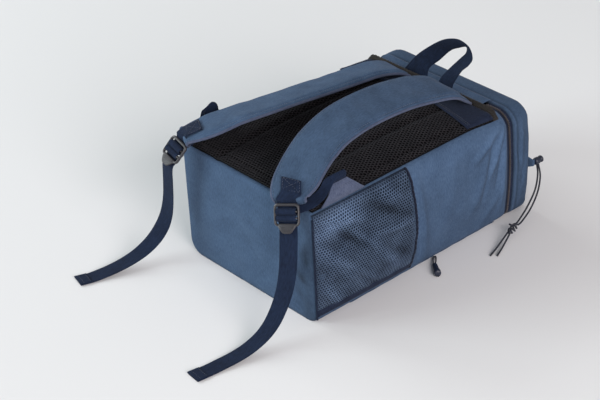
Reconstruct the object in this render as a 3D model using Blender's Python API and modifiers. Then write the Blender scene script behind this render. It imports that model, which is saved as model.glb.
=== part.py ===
"""Cooler backpack lying on its front panel.

X runs across the bag, Y from the bottom panel (-Y) to the lid (+Y), and Z up
from the floor. The origin is the middle of the flat front panel, on the floor.
"""
import math

import bmesh
import bpy
from mathutils import Vector

# Driving sizes, in metres
BAG_WIDTH = 0.265
BAG_HEIGHT = 0.410
BAG_DEPTH = 0.170
WALL = 0.004
FRONT_RADIUS = 0.012
BACK_RADIUS = 0.007
BOTTOM_ROUND = 0.006
SIDE_BULGE = 0.011
LID_HEIGHT = 0.036
LID_ROUND = 0.012
ZIP_GAP = 0.012
ZIP_INSET = 0.0022
ZIP_TEETH_WIDTH = 0.0038
ZIP_TAPE_THICKNESS = 0.0012
PANEL_EDGE = 0.003
PANEL_DOME = 0.011
PANEL_CHANNEL = 0.004
BINDING_WIDTH = 0.010
BINDING_HEIGHT = 0.009
BINDING_DROP = 0.008
YOKE_DEPTH = 0.052
YOKE_RISE = 0.024
CLOTH = 0.0015
POCKET_LENGTH = 0.157
POCKET_SLACK = 0.0085
POCKET_HEM = 0.017
MESH = 0.0012
ELASTIC_WIDTH = 0.004
STRAP_WIDTH = 0.064
STRAP_PAD = 0.007
STRAP_MESH = 0.005
STRAP_RISE = 0.070
WEBBING_WIDTH = 0.025
WEBBING = 0.0014
HANDLE_WIDTH = 0.027
HANDLE_RISE = 0.094
HANDLE_SPAN = 0.064
BUCKLE_WALL = 0.0045
BUCKLE_LENGTH = 0.040
BUCKLE_THICKNESS = 0.004
BUCKLE_BAR = 0.0026
BUCKLE_SLOT = 0.0052
CORD_RADIUS = 0.0013
PULLER_CORD_RADIUS = 0.0011
PULLER_LENGTH = 0.026
PULLER_RADIUS = 0.0050
LOCK_LENGTH = 0.015
LOCK_RADIUS = 0.0052
TAB_HEIGHT = 0.028
TAB_LENGTH = 0.078
KNOT_RADIUS = 0.0056
FIT = 0.0003
SEAM = 0.0008

# Heights and places that follow from the sizes
HALF_WIDTH = BAG_WIDTH / 2
BOTTOM_Y = -BAG_HEIGHT / 2
TOP_Y = BAG_HEIGHT / 2
LID_RIM_Y = TOP_Y - LID_HEIGHT
BODY_RIM_Y = LID_RIM_Y - ZIP_GAP
BODY_LENGTH = BODY_RIM_Y - BOTTOM_Y
BINDING_TOP_Y = BODY_RIM_Y - BINDING_DROP
PANEL_TOP_Y = BINDING_TOP_Y - BINDING_WIDTH - FIT
PANEL_LENGTH = PANEL_TOP_Y - BOTTOM_Y
PANEL_HALF = HALF_WIDTH - BACK_RADIUS * 0.7

# Ends of the hinge strip, as shares of the half width
HINGE_LEFT = -0.85
HINGE_RIGHT = 0.68

# Middle of the side tab's top edge and of its foot, as shares of the bag's height
TAB_TOP_PLACE = 0.130
TAB_FOOT_PLACE = 0.143

# Slots and bars of the ladder lock, as shares of its length from the strap end
BAR_TOP = 0.10
BAR_STRAP = 0.27
BAR_GRIP = 0.48

# Columns of the back panel, as shares of its half width
PANEL_COLUMNS = (-1.0, -0.93, -0.75, -0.57, -0.50, -0.43, -0.2, 0.0,
                 0.2, 0.43, 0.50, 0.57, 0.75, 0.93, 1.0)

BODY_BLUE = (0.085, 0.135, 0.220)
NAVY = (0.022, 0.036, 0.080)
BLACK_MESH = (0.012, 0.011, 0.012)
BUCKLE_GREY = (0.075, 0.070, 0.074)
ZIP_GREY = (0.050, 0.048, 0.060)

# How far the side panels swell along the bag, each row as shares:
# along the body from the bottom panel, of the full swell
SWELL = ((0.00, 0.00), (0.12, 0.55), (0.30, 0.92), (0.50, 1.00),
         (0.70, 0.90), (0.86, 0.55), (0.96, 0.15), (1.00, 0.00))

# Middle line of each shoulder strap, from its top end to its buckle. Columns:
# along (share of the bag's height from the bottom panel), out (share of the
# half width), rise (share of STRAP_RISE above the back), width and pad (shares)
STRAP_RIGHT = (
    (0.834, 0.48, 0.205, 1.00, 0.50),
    (0.793, 0.49, 0.400, 1.00, 0.80),
    (0.737, 0.50, 0.585, 1.00, 1.00),
    (0.676, 0.51, 0.730, 1.00, 1.00),
    (0.605, 0.52, 0.845, 1.00, 1.00),
    (0.520, 0.53, 0.945, 1.00, 1.00),
    (0.435, 0.54, 1.000, 1.00, 1.00),
    (0.352, 0.55, 1.020, 1.00, 1.00),
    (0.278, 0.56, 1.000, 1.00, 1.00),
    (0.205, 0.58, 0.930, 0.98, 1.00),
    (0.145, 0.60, 0.800, 1.00, 1.00),
    (0.090, 0.63, 0.625, 1.00, 0.95),
    (0.030, 0.69, 0.430, 0.96, 0.80),
    (-0.018, 0.755, 0.300, 0.76, 0.50),
)
STRAP_LEFT = (
    (0.834, 0.48, 0.205, 1.00, 0.50),
    (0.790, 0.49, 0.265, 1.00, 0.70),
    (0.720, 0.51, 0.315, 1.00, 0.85),
    (0.612, 0.52, 0.370, 1.00, 1.00),
    (0.480, 0.53, 0.445, 1.00, 1.00),
    (0.340, 0.55, 0.520, 1.00, 1.00),
    (0.205, 0.58, 0.570, 1.00, 1.00),
    (0.120, 0.62, 0.580, 1.00, 1.00),
    (0.045, 0.70, 0.510, 0.94, 0.85),
    (-0.018, 0.820, 0.385, 0.74, 0.50),
)

# Grab handle. Columns: across (share of HANDLE_SPAN), rise (share of
# HANDLE_RISE above the back), then the half width's direction
HANDLE_ROWS = (
    (-0.590, 0.010, (1.85, 0.00, 0.00)),
    (-0.365, 0.290, (0.95, 0.15, -0.40)),
    (-0.015, 0.520, (0.55, 0.42, -0.68)),
    (0.380, 0.760, (0.25, 0.50, -0.78)),
    (0.670, 0.870, (0.12, 0.50, -0.82)),
    (0.900, 0.920, (-0.12, 0.40, -0.85)),
    (1.080, 0.880, (-0.60, 0.30, -0.60)),
    (1.100, 0.760, (-0.88, 0.34, -0.20)),
    (0.970, 0.640, (-0.90, 0.40, 0.00)),
    (0.790, 0.510, (-0.88, 0.44, 0.00)),
    (0.590, 0.340, (-0.94, 0.25, 0.00)),
    (0.400, 0.150, (-1.00, 0.05, 0.00)),
    (0.360, 0.010, (-1.00, 0.00, 0.00)),
)

# Webbing tails, from below the buckle to the hemmed end on the floor. Columns:
# out, along, up, as shares of the half width, bag height and bag depth, then
# how far the webbing has turned to lie along X
TAIL_RIGHT = (
    (0.962, -0.598, 0.610, 0.05),
    (0.960, -0.630, 0.370, 0.25),
    (0.925, -0.685, 0.155, 0.50),
    (0.880, -0.770, 0.045, 0.80),
    (0.826, -0.880, 0.010, 0.95),
    (0.790, -0.962, 0.006, 1.00),
)
TAIL_LEFT = (
    (0.975, -0.585, 0.515, 0.05),
    (1.040, -0.613, 0.290, 0.25),
    (1.130, -0.668, 0.130, 0.50),
    (1.205, -0.750, 0.050, 0.80),
    (1.290, -0.840, 0.012, 0.95),
    (1.355, -0.898, 0.006, 1.00),
)
TAIL_END_RIGHT = Vector((1.0, -0.10, 0.0))
TAIL_END_LEFT = Vector((0.97, -0.23, 0.0))

# Free cord routes, chosen by hand, in metres. Columns: out from the side, along
# from the lid's top, up from the floor
CORD_NEAR_ROUTE = (
    (0.0040, 0.0148, 0.0668),
    (0.0071, 0.0138, 0.0500),
    (0.0140, 0.0010, 0.0330),
    (0.0235, -0.0250, 0.0210),
    (0.0330, -0.0530, 0.0150),
    (0.0355, -0.0628, 0.0136),
)
CORD_FAR_ROUTE = (
    (0.0072, 0.0148, 0.0668),
    (0.0111, 0.0148, 0.0480),
    (0.0195, 0.0000, 0.0310),
    (0.0300, -0.0260, 0.0200),
    (0.0380, -0.0520, 0.0150),
    (0.0393, -0.0622, 0.0136),
)
TIP_NEAR_ROUTE = (
    (0.0387, -0.0823, 0.0105),
    (0.0415, -0.0930, 0.0078),
    (0.0470, -0.1130, 0.0036),
    (0.0525, -0.1320, 0.0015),
)
TIP_FAR_ROUTE = (
    (0.0423, -0.0817, 0.0105),
    (0.0465, -0.0920, 0.0078),
    (0.0535, -0.1100, 0.0036),
    (0.0595, -0.1260, 0.0015),
)
LOCK_OFFSET = (0.0055, 0.0080, 0.0725)

# Turned outlines: along (share of the length), radius (share of the largest)
LOCK_OUTLINE = ((0.0, 0.80), (0.10, 1.0), (0.55, 1.0), (0.62, 0.72), (0.74, 0.72), (0.78, 0.95),
                (0.96, 0.95), (1.0, 0.80))
KNOT_OUTLINE = ((0.0, 0.55), (0.12, 0.93), (0.30, 0.71), (0.48, 1.0), (0.69, 0.75), (0.87, 0.96),
                (1.0, 0.55))


def clear_scene():
    for thing in list(bpy.data.objects):
        bpy.data.objects.remove(thing, do_unlink=True)


def collection(name):
    group = bpy.data.collections.new(name)
    bpy.context.scene.collection.children.link(group)
    return group


def material(name, colour, roughness, metallic=0.0):
    shade = bpy.data.materials.new(name)
    shade.use_nodes = True
    bsdf = shade.node_tree.nodes["Principled BSDF"]
    bsdf.inputs["Base Color"].default_value = (*colour, 1.0)
    bsdf.inputs["Roughness"].default_value = roughness
    bsdf.inputs["Metallic"].default_value = metallic
    return shade


def add_object(name, mesh, colour, roughness, group):
    thing = bpy.data.objects.new(name, mesh)
    thing.data.materials.append(material(name, colour, roughness))
    group.objects.link(thing)
    return thing


def loft(name, rings, colour, roughness, group, cap_first=True):
    """Skin closed rings of equal count. The last ring is always capped, the first on request."""
    bm = bmesh.new()
    rows = [[bm.verts.new(point) for point in ring] for ring in rings]
    count = len(rows[0])
    for low, high in zip(rows, rows[1:]):
        for i in range(count):
            j = (i + 1) % count
            bm.faces.new((low[i], low[j], high[j], high[i]))
    bm.faces.new(rows[-1])
    if cap_first:
        bm.faces.new(rows[0])
    bmesh.ops.recalc_face_normals(bm, faces=bm.faces)
    mesh = bpy.data.meshes.new(name)
    bm.to_mesh(mesh)
    bm.free()
    return add_object(name, mesh, colour, roughness, group)


def smooth(rows, count):
    """Catmull-Rom curve through rows of numbers, read at count even steps."""
    points = [Vector(row) for row in rows]
    points = [2 * points[0] - points[1], *points, 2 * points[-1] - points[-2]]
    spans = len(points) - 3
    result = []
    for k in range(count):
        place = spans * k / (count - 1)
        i = min(int(place), spans - 1)
        t = place - i
        a, b, c, d = points[i:i + 4]
        result.append(0.5 * (2 * b + (c - a) * t + (2 * a - 5 * b + 4 * c - d) * t * t
                             + (3 * b - a - 3 * c + d) * t ** 3))
    return result


def blend(table, share):
    """Read a two-column table, with straight lines between its rows."""
    for (low, a), (high, b) in zip(table, table[1:]):
        if share <= high:
            t = max(0.0, (share - low) / (high - low))
            return a + (b - a) * t
    return table[-1][1]


def side_swell(y, z):
    """How far a side panel stands out from the flat box at height z."""
    along = (y - BOTTOM_Y) / BODY_LENGTH
    return SIDE_BULGE * blend(SWELL, along) * math.sin(math.pi * min(max(z / BAG_DEPTH, 0), 1))


def box_ring(y, inset, swell=True):
    """Cross section of the bag at y: a rounded rectangle that is flat on the floor."""
    half = HALF_WIDTH - inset
    low = 0.0 if swell else inset
    high = BAG_DEPTH - inset
    corners = (
        (half - FRONT_RADIUS, low + FRONT_RADIUS, FRONT_RADIUS, -90),
        (half - BACK_RADIUS, high - BACK_RADIUS, BACK_RADIUS, 0),
        (-half + BACK_RADIUS, high - BACK_RADIUS, BACK_RADIUS, 90),
        (-half + FRONT_RADIUS, low + FRONT_RADIUS, FRONT_RADIUS, 180),
    )
    outline = []
    for x, z, radius, start in corners:
        for step in range(4):
            angle = math.radians(start + 30 * step)
            outline.append((x + radius * math.cos(angle), z + radius * math.sin(angle)))
    ring = []
    for i, (x, z) in enumerate(outline):
        ring.append((x, z))
        if i % 4 == 3:
            x_next, z_next = outline[(i + 1) % len(outline)]
            for step in range(1, 6):
                ring.append((x + (x_next - x) * step / 6, z + (z_next - z) * step / 6))
    return [Vector((x + math.copysign(side_swell(y, z), x) * (abs(x) > half * 0.9), y, z))
            for x, z in ring]


def ribbon(name, stations, thickness, colour, roughness, group, shape=None):
    """Sweep a flat section along (centre, half-width vector) stations."""
    rings = []
    for i, (centre, half) in enumerate(stations):
        before = stations[max(i - 1, 0)][0]
        after = stations[min(i + 1, len(stations) - 1)][0]
        normal = (after - before).cross(half).normalized()
        outline = shape(i) if shape else ((-1, -0.5), (1, -0.5), (1, 0.5), (-1, 0.5))
        rings.append([centre + half * u + normal * v * thickness for u, v in outline])
    return loft(name, rings, colour, roughness, group)


def build_body(group):
    """Padded tub: bottom, front, back and side walls, open at the lid."""
    rings = [box_ring(BOTTOM_Y + BOTTOM_ROUND * (1 - math.cos(a)), BOTTOM_ROUND * (1 - math.sin(a)))
             for a in (0.0, math.radians(45))]
    start = BOTTOM_Y + BOTTOM_ROUND
    for along in (0.0, 0.11, 0.26, 0.42, 0.58, 0.74, 0.88, 0.96):
        rings.append(box_ring(start + (BODY_RIM_Y - start) * along, 0.0))
    rings.append(box_ring(BODY_RIM_Y, ZIP_INSET * 0.4))
    rings.reverse()
    body = loft("body_shell", rings, BODY_BLUE, 0.85, group, cap_first=False)
    add_wall(body)
    return body


def build_lid(group):
    """Hollow lid tray with softly rounded top edges."""
    rings = [box_ring(LID_RIM_Y, ZIP_INSET * 0.4)]
    for along in (0.12, 0.55):
        rings.append(box_ring(LID_RIM_Y + (LID_HEIGHT - LID_ROUND) * along, 0.0))
    for angle in (0, 30, 60, 90):
        turn = math.radians(angle)
        y = TOP_Y - LID_ROUND * (1 - math.sin(turn))
        rings.append(box_ring(y, LID_ROUND * 0.6 * (1 - math.cos(turn))))
    lid = loft("lid_shell", rings, BODY_BLUE, 0.85, group, cap_first=False)
    add_wall(lid)
    return lid


def add_wall(shell):
    wall = shell.modifiers.new("wall", "SOLIDIFY")
    wall.thickness = WALL
    wall.offset = -1.0
    wall.use_even_offset = True


def panel_height(x, y, channel=PANEL_CHANNEL):
    """Top of the padded mesh back panel, with a stitched channel on each side."""
    across = x / PANEL_HALF
    along = (y - BOTTOM_Y) / PANEL_LENGTH
    dome = PANEL_DOME * max(0.0, 1 - across ** 4) * max(0.0, math.sin(math.pi * along)) ** 0.7
    groove = channel * max(0.0, 1 - abs(abs(across) - 0.5) / 0.07)
    fade = max(0.0, min(1.0, along / 0.05, (1 - along) / 0.05))
    return BAG_DEPTH + FIT + PANEL_EDGE + dome - groove * fade


def build_sheet(name, columns, rows, low, high, colour, roughness, group):
    """Closed sheet over a grid: low and high give the two faces at (column, row)."""
    rings = []
    for row in rows:
        under = [low(column, row) for column in columns]
        over = [high(column, row) for column in reversed(columns)]
        rings.append(under + over)
    return loft(name, rings, colour, roughness, group)


def build_back(group):
    """Mesh back panel, yoke under the strap tops and the binding along the top edge."""
    def at(column, row, lift):
        x = column * PANEL_HALF
        y = BOTTOM_Y + PANEL_LENGTH * row
        return Vector((x, y, panel_height(x, y) + lift))

    def under(column, row):
        return Vector((column * PANEL_HALF, BOTTOM_Y + PANEL_LENGTH * row, BAG_DEPTH + FIT))

    rows = (0.0, 0.04, 0.12, 0.26, 0.42, 0.58, 0.74, 0.82, 0.88, 0.94, 0.97, 1.0)
    inner = [max(row, BOTTOM_ROUND / PANEL_LENGTH) for row in rows]
    build_sheet("back_panel_mesh", PANEL_COLUMNS, inner, under,
                lambda column, row: at(column, row, 0.0), BLACK_MESH, 0.9, group)

    def yoke(column, row, lift):
        x = column * PANEL_HALF
        sweep = YOKE_RISE * (1 - abs(column))
        low_y = PANEL_TOP_Y - YOKE_DEPTH + sweep
        y = low_y + (PANEL_TOP_Y - low_y) * row
        return Vector((x, y, panel_height(x, y, channel=0.0) + lift))

    build_sheet("yoke_band", PANEL_COLUMNS, (0.0, 0.33, 0.66, 0.85, 1.0),
                lambda column, row: yoke(column, row, SEAM * 1.1),
                lambda column, row: yoke(column, row, SEAM * 1.1 + CLOTH), NAVY, 0.7, group)

    middle = BINDING_TOP_Y - BINDING_WIDTH / 2
    roll = [(math.cos(math.radians(a)), math.sin(math.radians(a))) for a in (0, 35, 70, 110, 145, 180)]
    rings = []
    for column in (-1.0, -0.96, -0.6, -0.2, 0.2, 0.6, 0.96, 1.0):
        high = BINDING_HEIGHT * (0.55 if abs(column) == 1.0 else 1.0)
        rings.append([Vector((column * (PANEL_HALF - FIT), middle + BINDING_WIDTH / 2 * u,
                              BAG_DEPTH + FIT + high * v)) for u, v in roll])
    loft("top_binding", rings, BLACK_MESH, 0.9, group)


def build_hinge(group):
    """Body-fabric strip between the binding and the lid, where no zip runs."""
    low_y = BINDING_TOP_Y + 0.003
    high_y = LID_RIM_Y + 0.004
    z = BAG_DEPTH + FIT
    rings = []
    for share in (0.0, 0.25, 0.5, 0.75, 1.0):
        x = HALF_WIDTH * (HINGE_LEFT + (HINGE_RIGHT - HINGE_LEFT) * share)
        rings.append([Vector((x, low_y, z)), Vector((x, high_y, z)),
                      Vector((x, high_y, z + CLOTH)), Vector((x, (low_y + high_y) / 2, z + CLOTH * 1.6)),
                      Vector((x, low_y, z + CLOTH))])
    loft("hinge_strip", rings, BODY_BLUE, 0.85, group)


def clockwise(point):
    """Turn of a section's point from straight up, clockwise as seen from the bottom panel."""
    return (math.pi / 2 - math.atan2(point.z - BAG_DEPTH / 2, point.x)) % math.tau


def zip_run(name, low_y, high_y, depth, thickness, colour, roughness, group):
    """Band round the sides and front between the ends of the hinge strip."""
    outline = box_ring(BODY_RIM_Y, depth, swell=False)
    right_end = Vector((HALF_WIDTH * HINGE_RIGHT + 0.001, 0, BAG_DEPTH - depth))
    left_end = Vector((HALF_WIDTH * HINGE_LEFT - 0.001, 0, BAG_DEPTH - depth))
    keep = [p for p in outline if p.z < right_end.z - 1e-6 or p.x > right_end.x or p.x < left_end.x]
    keep.sort(key=clockwise)
    walk = [right_end, *keep, left_end]
    rings = []
    for i, point in enumerate(walk):
        before, after = walk[max(i - 1, 0)], walk[min(i + 1, len(walk) - 1)]
        tangent = Vector((after.x - before.x, 0, after.z - before.z)).normalized()
        inward = Vector((tangent.z, 0, -tangent.x))
        if inward.dot(Vector((-point.x, 0, BAG_DEPTH / 2 - point.z))) < 0:
            inward.negate()
        edge = Vector((point.x, 0, point.z))
        rings.append([edge + Vector((0, low_y, 0)), edge + Vector((0, high_y, 0)),
                      edge + inward * thickness + Vector((0, high_y, 0)),
                      edge + inward * thickness + Vector((0, low_y, 0))])
    loft(name, rings, colour, roughness, group)


def build_zip(group):
    middle = (BODY_RIM_Y + LID_RIM_Y) / 2
    half = ZIP_TEETH_WIDTH / 2
    zip_run("zip_teeth", middle - half, middle + half, ZIP_INSET * 0.5, ZIP_TAPE_THICKNESS * 1.6,
            ZIP_GREY, 0.5, group)
    zip_run("zip_tape_body", BODY_RIM_Y + FIT, middle - half - FIT, ZIP_INSET, ZIP_TAPE_THICKNESS,
            NAVY, 0.8, group)
    zip_run("zip_tape_lid", middle + half + FIT, LID_RIM_Y - FIT, ZIP_INSET, ZIP_TAPE_THICKNESS,
            NAVY, 0.8, group)


def pocket_gap(along, up):
    """Stand-off of the slack pocket from the side panel, 0 to 1 along and up the pocket."""
    open_end = math.sin(math.pi / 2 * min(1.0, along * 1.25)) ** 1.3
    return SEAM + POCKET_SLACK * open_end * max(0.0, math.sin(math.pi * up)) ** 0.8


def build_pocket(group):
    """Slack mesh pocket on the +X side, open toward the lid."""
    start = BOTTOM_Y + BOTTOM_ROUND * 1.5
    low_z = FRONT_RADIUS
    high_z = BAG_DEPTH - BACK_RADIUS

    def at(up, along, lift, y=None):
        z = low_z + (high_z - low_z) * up
        place = start + POCKET_LENGTH * along if y is None else y
        out = HALF_WIDTH + side_swell(place, z) + pocket_gap(along, up) + lift
        return Vector((out, place, z))

    hem = POCKET_HEM / (high_z - low_z)
    crack = FIT / (high_z - low_z)
    along = (0.0, 0.08, 0.2, 0.34, 0.48, 0.62, 0.76, 0.88, 1.0)
    up = [hem + crack + (1 - hem - crack) * k / 9 for k in range(10)]
    build_sheet("side_pocket_mesh", up, along, lambda u, a: at(u, a, 0.0),
                lambda u, a: at(u, a, MESH), NAVY, 0.8, group)
    build_sheet("pocket_hem", [hem * k / 2 for k in range(3)], along, lambda u, a: at(u, a, 0.0),
                lambda u, a: at(u, a, CLOTH), NAVY, 0.8, group)
    mouth = start + POCKET_LENGTH + FIT
    edge_up = [k / 11 for k in range(12)]
    build_sheet("pocket_edge", edge_up, (0.0, 1.0),
                lambda u, a: at(u, 1.0, -0.0001, mouth + ELASTIC_WIDTH * a),
                lambda u, a: at(u, 1.0, MESH * 1.7, mouth + ELASTIC_WIDTH * a), NAVY, 0.8, group)


COVER_SHAPE = ((-1.00, 0.02), (-0.99, 0.34), (-0.90, 0.72), (-0.50, 0.96), (0.0, 1.0),
               (0.50, 0.96), (0.90, 0.72), (0.99, 0.34), (1.00, 0.02), (0.50, 0.0), (0.0, 0.0),
               (-0.50, 0.0))
PAD_SHAPE = ((1.0, 0.0), (0.97, -0.45), (0.84, -0.90), (0.0, -1.0), (-0.84, -0.90), (-0.97, -0.45),
             (-1.0, 0.0), (-0.50, 0.0), (0.0, 0.0), (0.50, 0.0))


def strap_frames(rows, side, count):
    """Stations along a strap: centre, half-width vector and pad share."""
    points = []
    for along, out, rise, width, pad in rows:
        points.append((side * out * HALF_WIDTH, BOTTOM_Y + BAG_HEIGHT * along,
                       BAG_DEPTH + STRAP_RISE * rise, width, pad))
    path = smooth_rows(points, count)
    end_turn = Vector((0.83, 0.56 * side, 0.0))
    frames = []
    for i, row in enumerate(path):
        centre = Vector(row[:3])
        ahead = Vector(path[min(i + 1, count - 1)][:3]) - Vector(path[max(i - 1, 0)][:3])
        turn = max(0.0, i / (count - 1) - 0.70) / 0.30
        lean = Vector((1.0, 0.0, -0.20 * side * (1 - turn) * min(1.0, i / count / 0.25)))
        across = lean.lerp(end_turn, turn ** 1.2)
        across -= ahead * across.dot(ahead) / ahead.length_squared
        frames.append((centre, across.normalized() * STRAP_WIDTH / 2 * row[3], row[4]))
    return frames


def smooth_rows(rows, count):
    """smooth for rows of five numbers, as two curves over the same steps."""
    places = smooth([row[:3] for row in rows], count)
    extras = smooth([(row[3], row[4], 0.0) for row in rows], count)
    return [(*place, extra[0], extra[1]) for place, extra in zip(places, extras)]


def build_strap(side, label, rows, group):
    """Padded strap: cloth cover above, mesh pad below."""
    frames = strap_frames(rows, side, 22)
    stations = [(centre, half) for centre, half, pad in frames]
    crack = SEAM * 0.4

    def cover(i):
        return [(u, crack / STRAP_PAD + v * frames[i][2]) for u, v in COVER_SHAPE]

    def pad(i):
        return [(u, -crack / STRAP_MESH + v * frames[i][2]) for u, v in PAD_SHAPE]

    ribbon("shoulder_strap_" + label, stations, STRAP_PAD, BODY_BLUE, 0.85, group, cover)
    ribbon("strap_padding_" + label, stations, STRAP_MESH, BLACK_MESH, 0.9, group, pad)
    return frames


def buckle_frame(frames, side):
    """Axes of the ladder lock that hangs from the end of a strap."""
    centre, half, pad = frames[-1]
    down = Vector((0.33 * side, -0.31, -0.89)).normalized()
    across = half.normalized() * side
    across = (across - down * across.dot(down)).normalized()
    out = down.cross(across) * side
    if out.y > 0:
        out.negate()
    origin = centre + down * 0.010 + out * 0.001
    return origin, across, down, out


def build_buckle(side, label, axes, group, tools):
    """Ladder lock: a flat frame with three slots and a rounded grip below."""
    origin, across, down, out = axes
    half = WEBBING_WIDTH / 2 + 0.0006 + BUCKLE_WALL
    length = BUCKLE_LENGTH
    outline = [(-half, 0.002), (-half + 0.002, 0.0), (half - 0.002, 0.0), (half, 0.002),
               (half, 0.60 * length), (half * 0.86, 0.68 * length)]
    for angle in (0, 30, 60, 90, 120, 150, 180):
        turn = math.radians(angle)
        outline.append((half * 0.62 * math.cos(turn), length * (0.74 + 0.26 * math.sin(turn))))
    outline += [(-half * 0.86, 0.68 * length), (-half, 0.60 * length)]
    rings = []
    for level in (0.0, BUCKLE_THICKNESS):
        rings.append([origin + across * u + down * v + out * level for u, v in outline])
    frame = loft("ladder_lock_" + label, rings, BUCKLE_GREY, 0.45, group)
    for k, (start, end) in enumerate(buckle_slots()):
        bm = bmesh.new()
        bmesh.ops.create_cube(bm, size=1.0)
        wide = WEBBING_WIDTH + 0.0012
        for vert in bm.verts:
            u, v, w = vert.co
            vert.co = (origin + across * (u * wide) + down * ((start + end) / 2 + v * (end - start))
                       + out * (BUCKLE_THICKNESS / 2 + w * BUCKLE_THICKNESS * 2))
        bm.normal_update()
        bmesh.ops.recalc_face_normals(bm, faces=bm.faces)
        mesh = bpy.data.meshes.new("slot")
        bm.to_mesh(mesh)
        bm.free()
        slot = bpy.data.objects.new(f"slot_{label}_{k}", mesh)
        slot.hide_render = True
        slot.display_type = "WIRE"
        tools.objects.link(slot)
        cut = frame.modifiers.new("slot", "BOOLEAN")
        cut.operation = "DIFFERENCE"
        cut.solver = "EXACT"
        cut.object = slot


def buckle_slots():
    """Slots between the top bar, the strap bar, the grip bar and the tongue."""
    half = BUCKLE_BAR / 2
    strap_bar = BUCKLE_LENGTH * BAR_STRAP
    grip_bar = BUCKLE_LENGTH * BAR_GRIP
    return ((BUCKLE_LENGTH * BAR_TOP, strap_bar - half), (strap_bar + half, grip_bar - half),
            (grip_bar + half, grip_bar + BUCKLE_SLOT))


def wrap(bar, start, end, count):
    """Half turn of webbing about a bar, as (down, out) places."""
    a = BUCKLE_BAR / 2 + 0.0019
    b = BUCKLE_THICKNESS / 2 + 0.0021
    points = []
    for k in range(count):
        turn = math.radians(start + (end - start) * k / (count - 1))
        points.append((bar - a * math.cos(turn), BUCKLE_THICKNESS / 2 + b * math.sin(turn)))
    return points


def build_patch(side, label, frames, axes, group):
    """Stitched webbing patch on the strap's end, looped over the buckle's strap bar."""
    origin, across, down, out = axes
    stations = []
    half_width = WEBBING_WIDTH / 2
    for centre, half, pad in frames[-3:]:
        ahead = frames[-1][0] - frames[-3][0]
        normal = ahead.cross(half).normalized()
        lift = SEAM * 1.8 + STRAP_PAD * pad + WEBBING / 2
        stations.append((centre + normal * lift, half.normalized() * half_width))
    turned = across * side * half_width
    below = ((0.0125, -0.0019), (0.0095, -0.0030), (0.0050, -0.0032))
    above = ((-0.0045, -0.0010), (0.0, -0.0016), (0.0045, -0.0016))
    for v, w in (*above, *wrap(BUCKLE_LENGTH * BAR_STRAP, -25, 205, 8), *below):
        stations.append((origin + down * v + out * w, turned))
    ribbon("strap_patch_" + label, stations, WEBBING, NAVY, 0.75, group)


def build_adjuster(side, label, axes, rows, end_across, group):
    """Webbing from the side tab over to the buckle, round its grip bar and down to the floor."""
    origin, across, down, out = axes
    half_width = WEBBING_WIDTH / 2
    tab = tab_top(side)
    stations = []
    turned = -across * side
    arch = ((Vector((0.0, 0.0, 0.0005)), (0.0, -1.0, 0.0)),
            (Vector((0.0005, -0.001, 0.0085)), (0.05, -1.0, 0.0)),
            (Vector((-0.0005, -0.008, 0.0125)), (0.25, -0.92, -0.20)),
            (Vector((-0.0025, -0.0185, 0.0015)), (0.42, -0.82, -0.42)),
            (Vector((-0.0060, -0.0330, -0.0125)), (0.75, -0.62, -0.15)),
            (Vector((-0.0100, -0.0510, -0.0205)), (0.85, -0.50, 0.0)))
    for offset, direction in arch:
        place = tab + Vector((side * offset.x, offset.y, offset.z))
        stations.append((place, Vector((-side * direction[0], direction[1], direction[2])).normalized()
                         * half_width))
    bar = BUCKLE_LENGTH * BAR_GRIP
    for v, w in ((bar - 0.005, -0.004), *wrap(bar, -20, 215, 9), (bar + 0.0045, -0.0019)):
        stations.append((origin + down * v + out * w, turned * half_width))
    tail_top = origin + down * (bar + BUCKLE_SLOT + 0.004) - out * 0.0020
    stations.append((tail_top, turned * half_width))
    stations.append((origin + down * (BUCKLE_LENGTH * 0.95) - out * 0.0022, turned * half_width))
    places = [stations[-1][0]]
    for share_x, share_y, share_z, turn in rows:
        places.append(Vector((side * share_x * HALF_WIDTH, share_y * BAG_HEIGHT, share_z * BAG_DEPTH)))
    turns = [0.0] + [row[3] for row in rows]
    path = smooth_rows([(*place, turn, 0.0) for place, turn in zip(places, turns)], 16)
    for row in path[1:]:
        direction = turned.lerp(-end_across, min(1.0, max(0.0, row[3]))).normalized()
        height = max(row[2], WEBBING / 2 + 0.0002)
        stations.append((Vector((row[0], row[1], height)), direction * half_width))
    ribbon("adjuster_webbing_" + label, stations, WEBBING, NAVY, 0.75, group)


def tab_top(side):
    """Middle of the side tab's upper edge."""
    return Vector((side * (HALF_WIDTH - 0.004), BOTTOM_Y + BAG_HEIGHT * TAB_TOP_PLACE,
                   BAG_DEPTH + TAB_HEIGHT))


def build_tab(side, label, group):
    """Triangular cloth tab sewn into the side seam, with the webbing at its point."""
    foot = BAG_DEPTH + FIT
    foot_x = side * (HALF_WIDTH - BACK_RADIUS * 0.55)
    foot_y = BOTTOM_Y + BAG_HEIGHT * TAB_FOOT_PLACE
    middle = tab_top(side)
    rings = []
    for share in (0.0, 0.35, 0.7, 1.0):
        half = (TAB_LENGTH + (WEBBING_WIDTH - TAB_LENGTH) * share) / 2
        y = foot_y + (middle.y - foot_y) * share
        x = foot_x + (middle.x - foot_x) * share + side * 0.003 * math.sin(math.pi * share)
        z = foot + (middle.z - FIT - foot) * share
        thick = CLOTH / 2
        rings.append([Vector((x - thick, y - half, z)), Vector((x + thick, y - half, z)),
                      Vector((x + thick, y + half, z)), Vector((x - thick, y + half, z))])
    loft("side_tab_" + label, rings, BODY_BLUE, 0.85, group)


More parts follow.
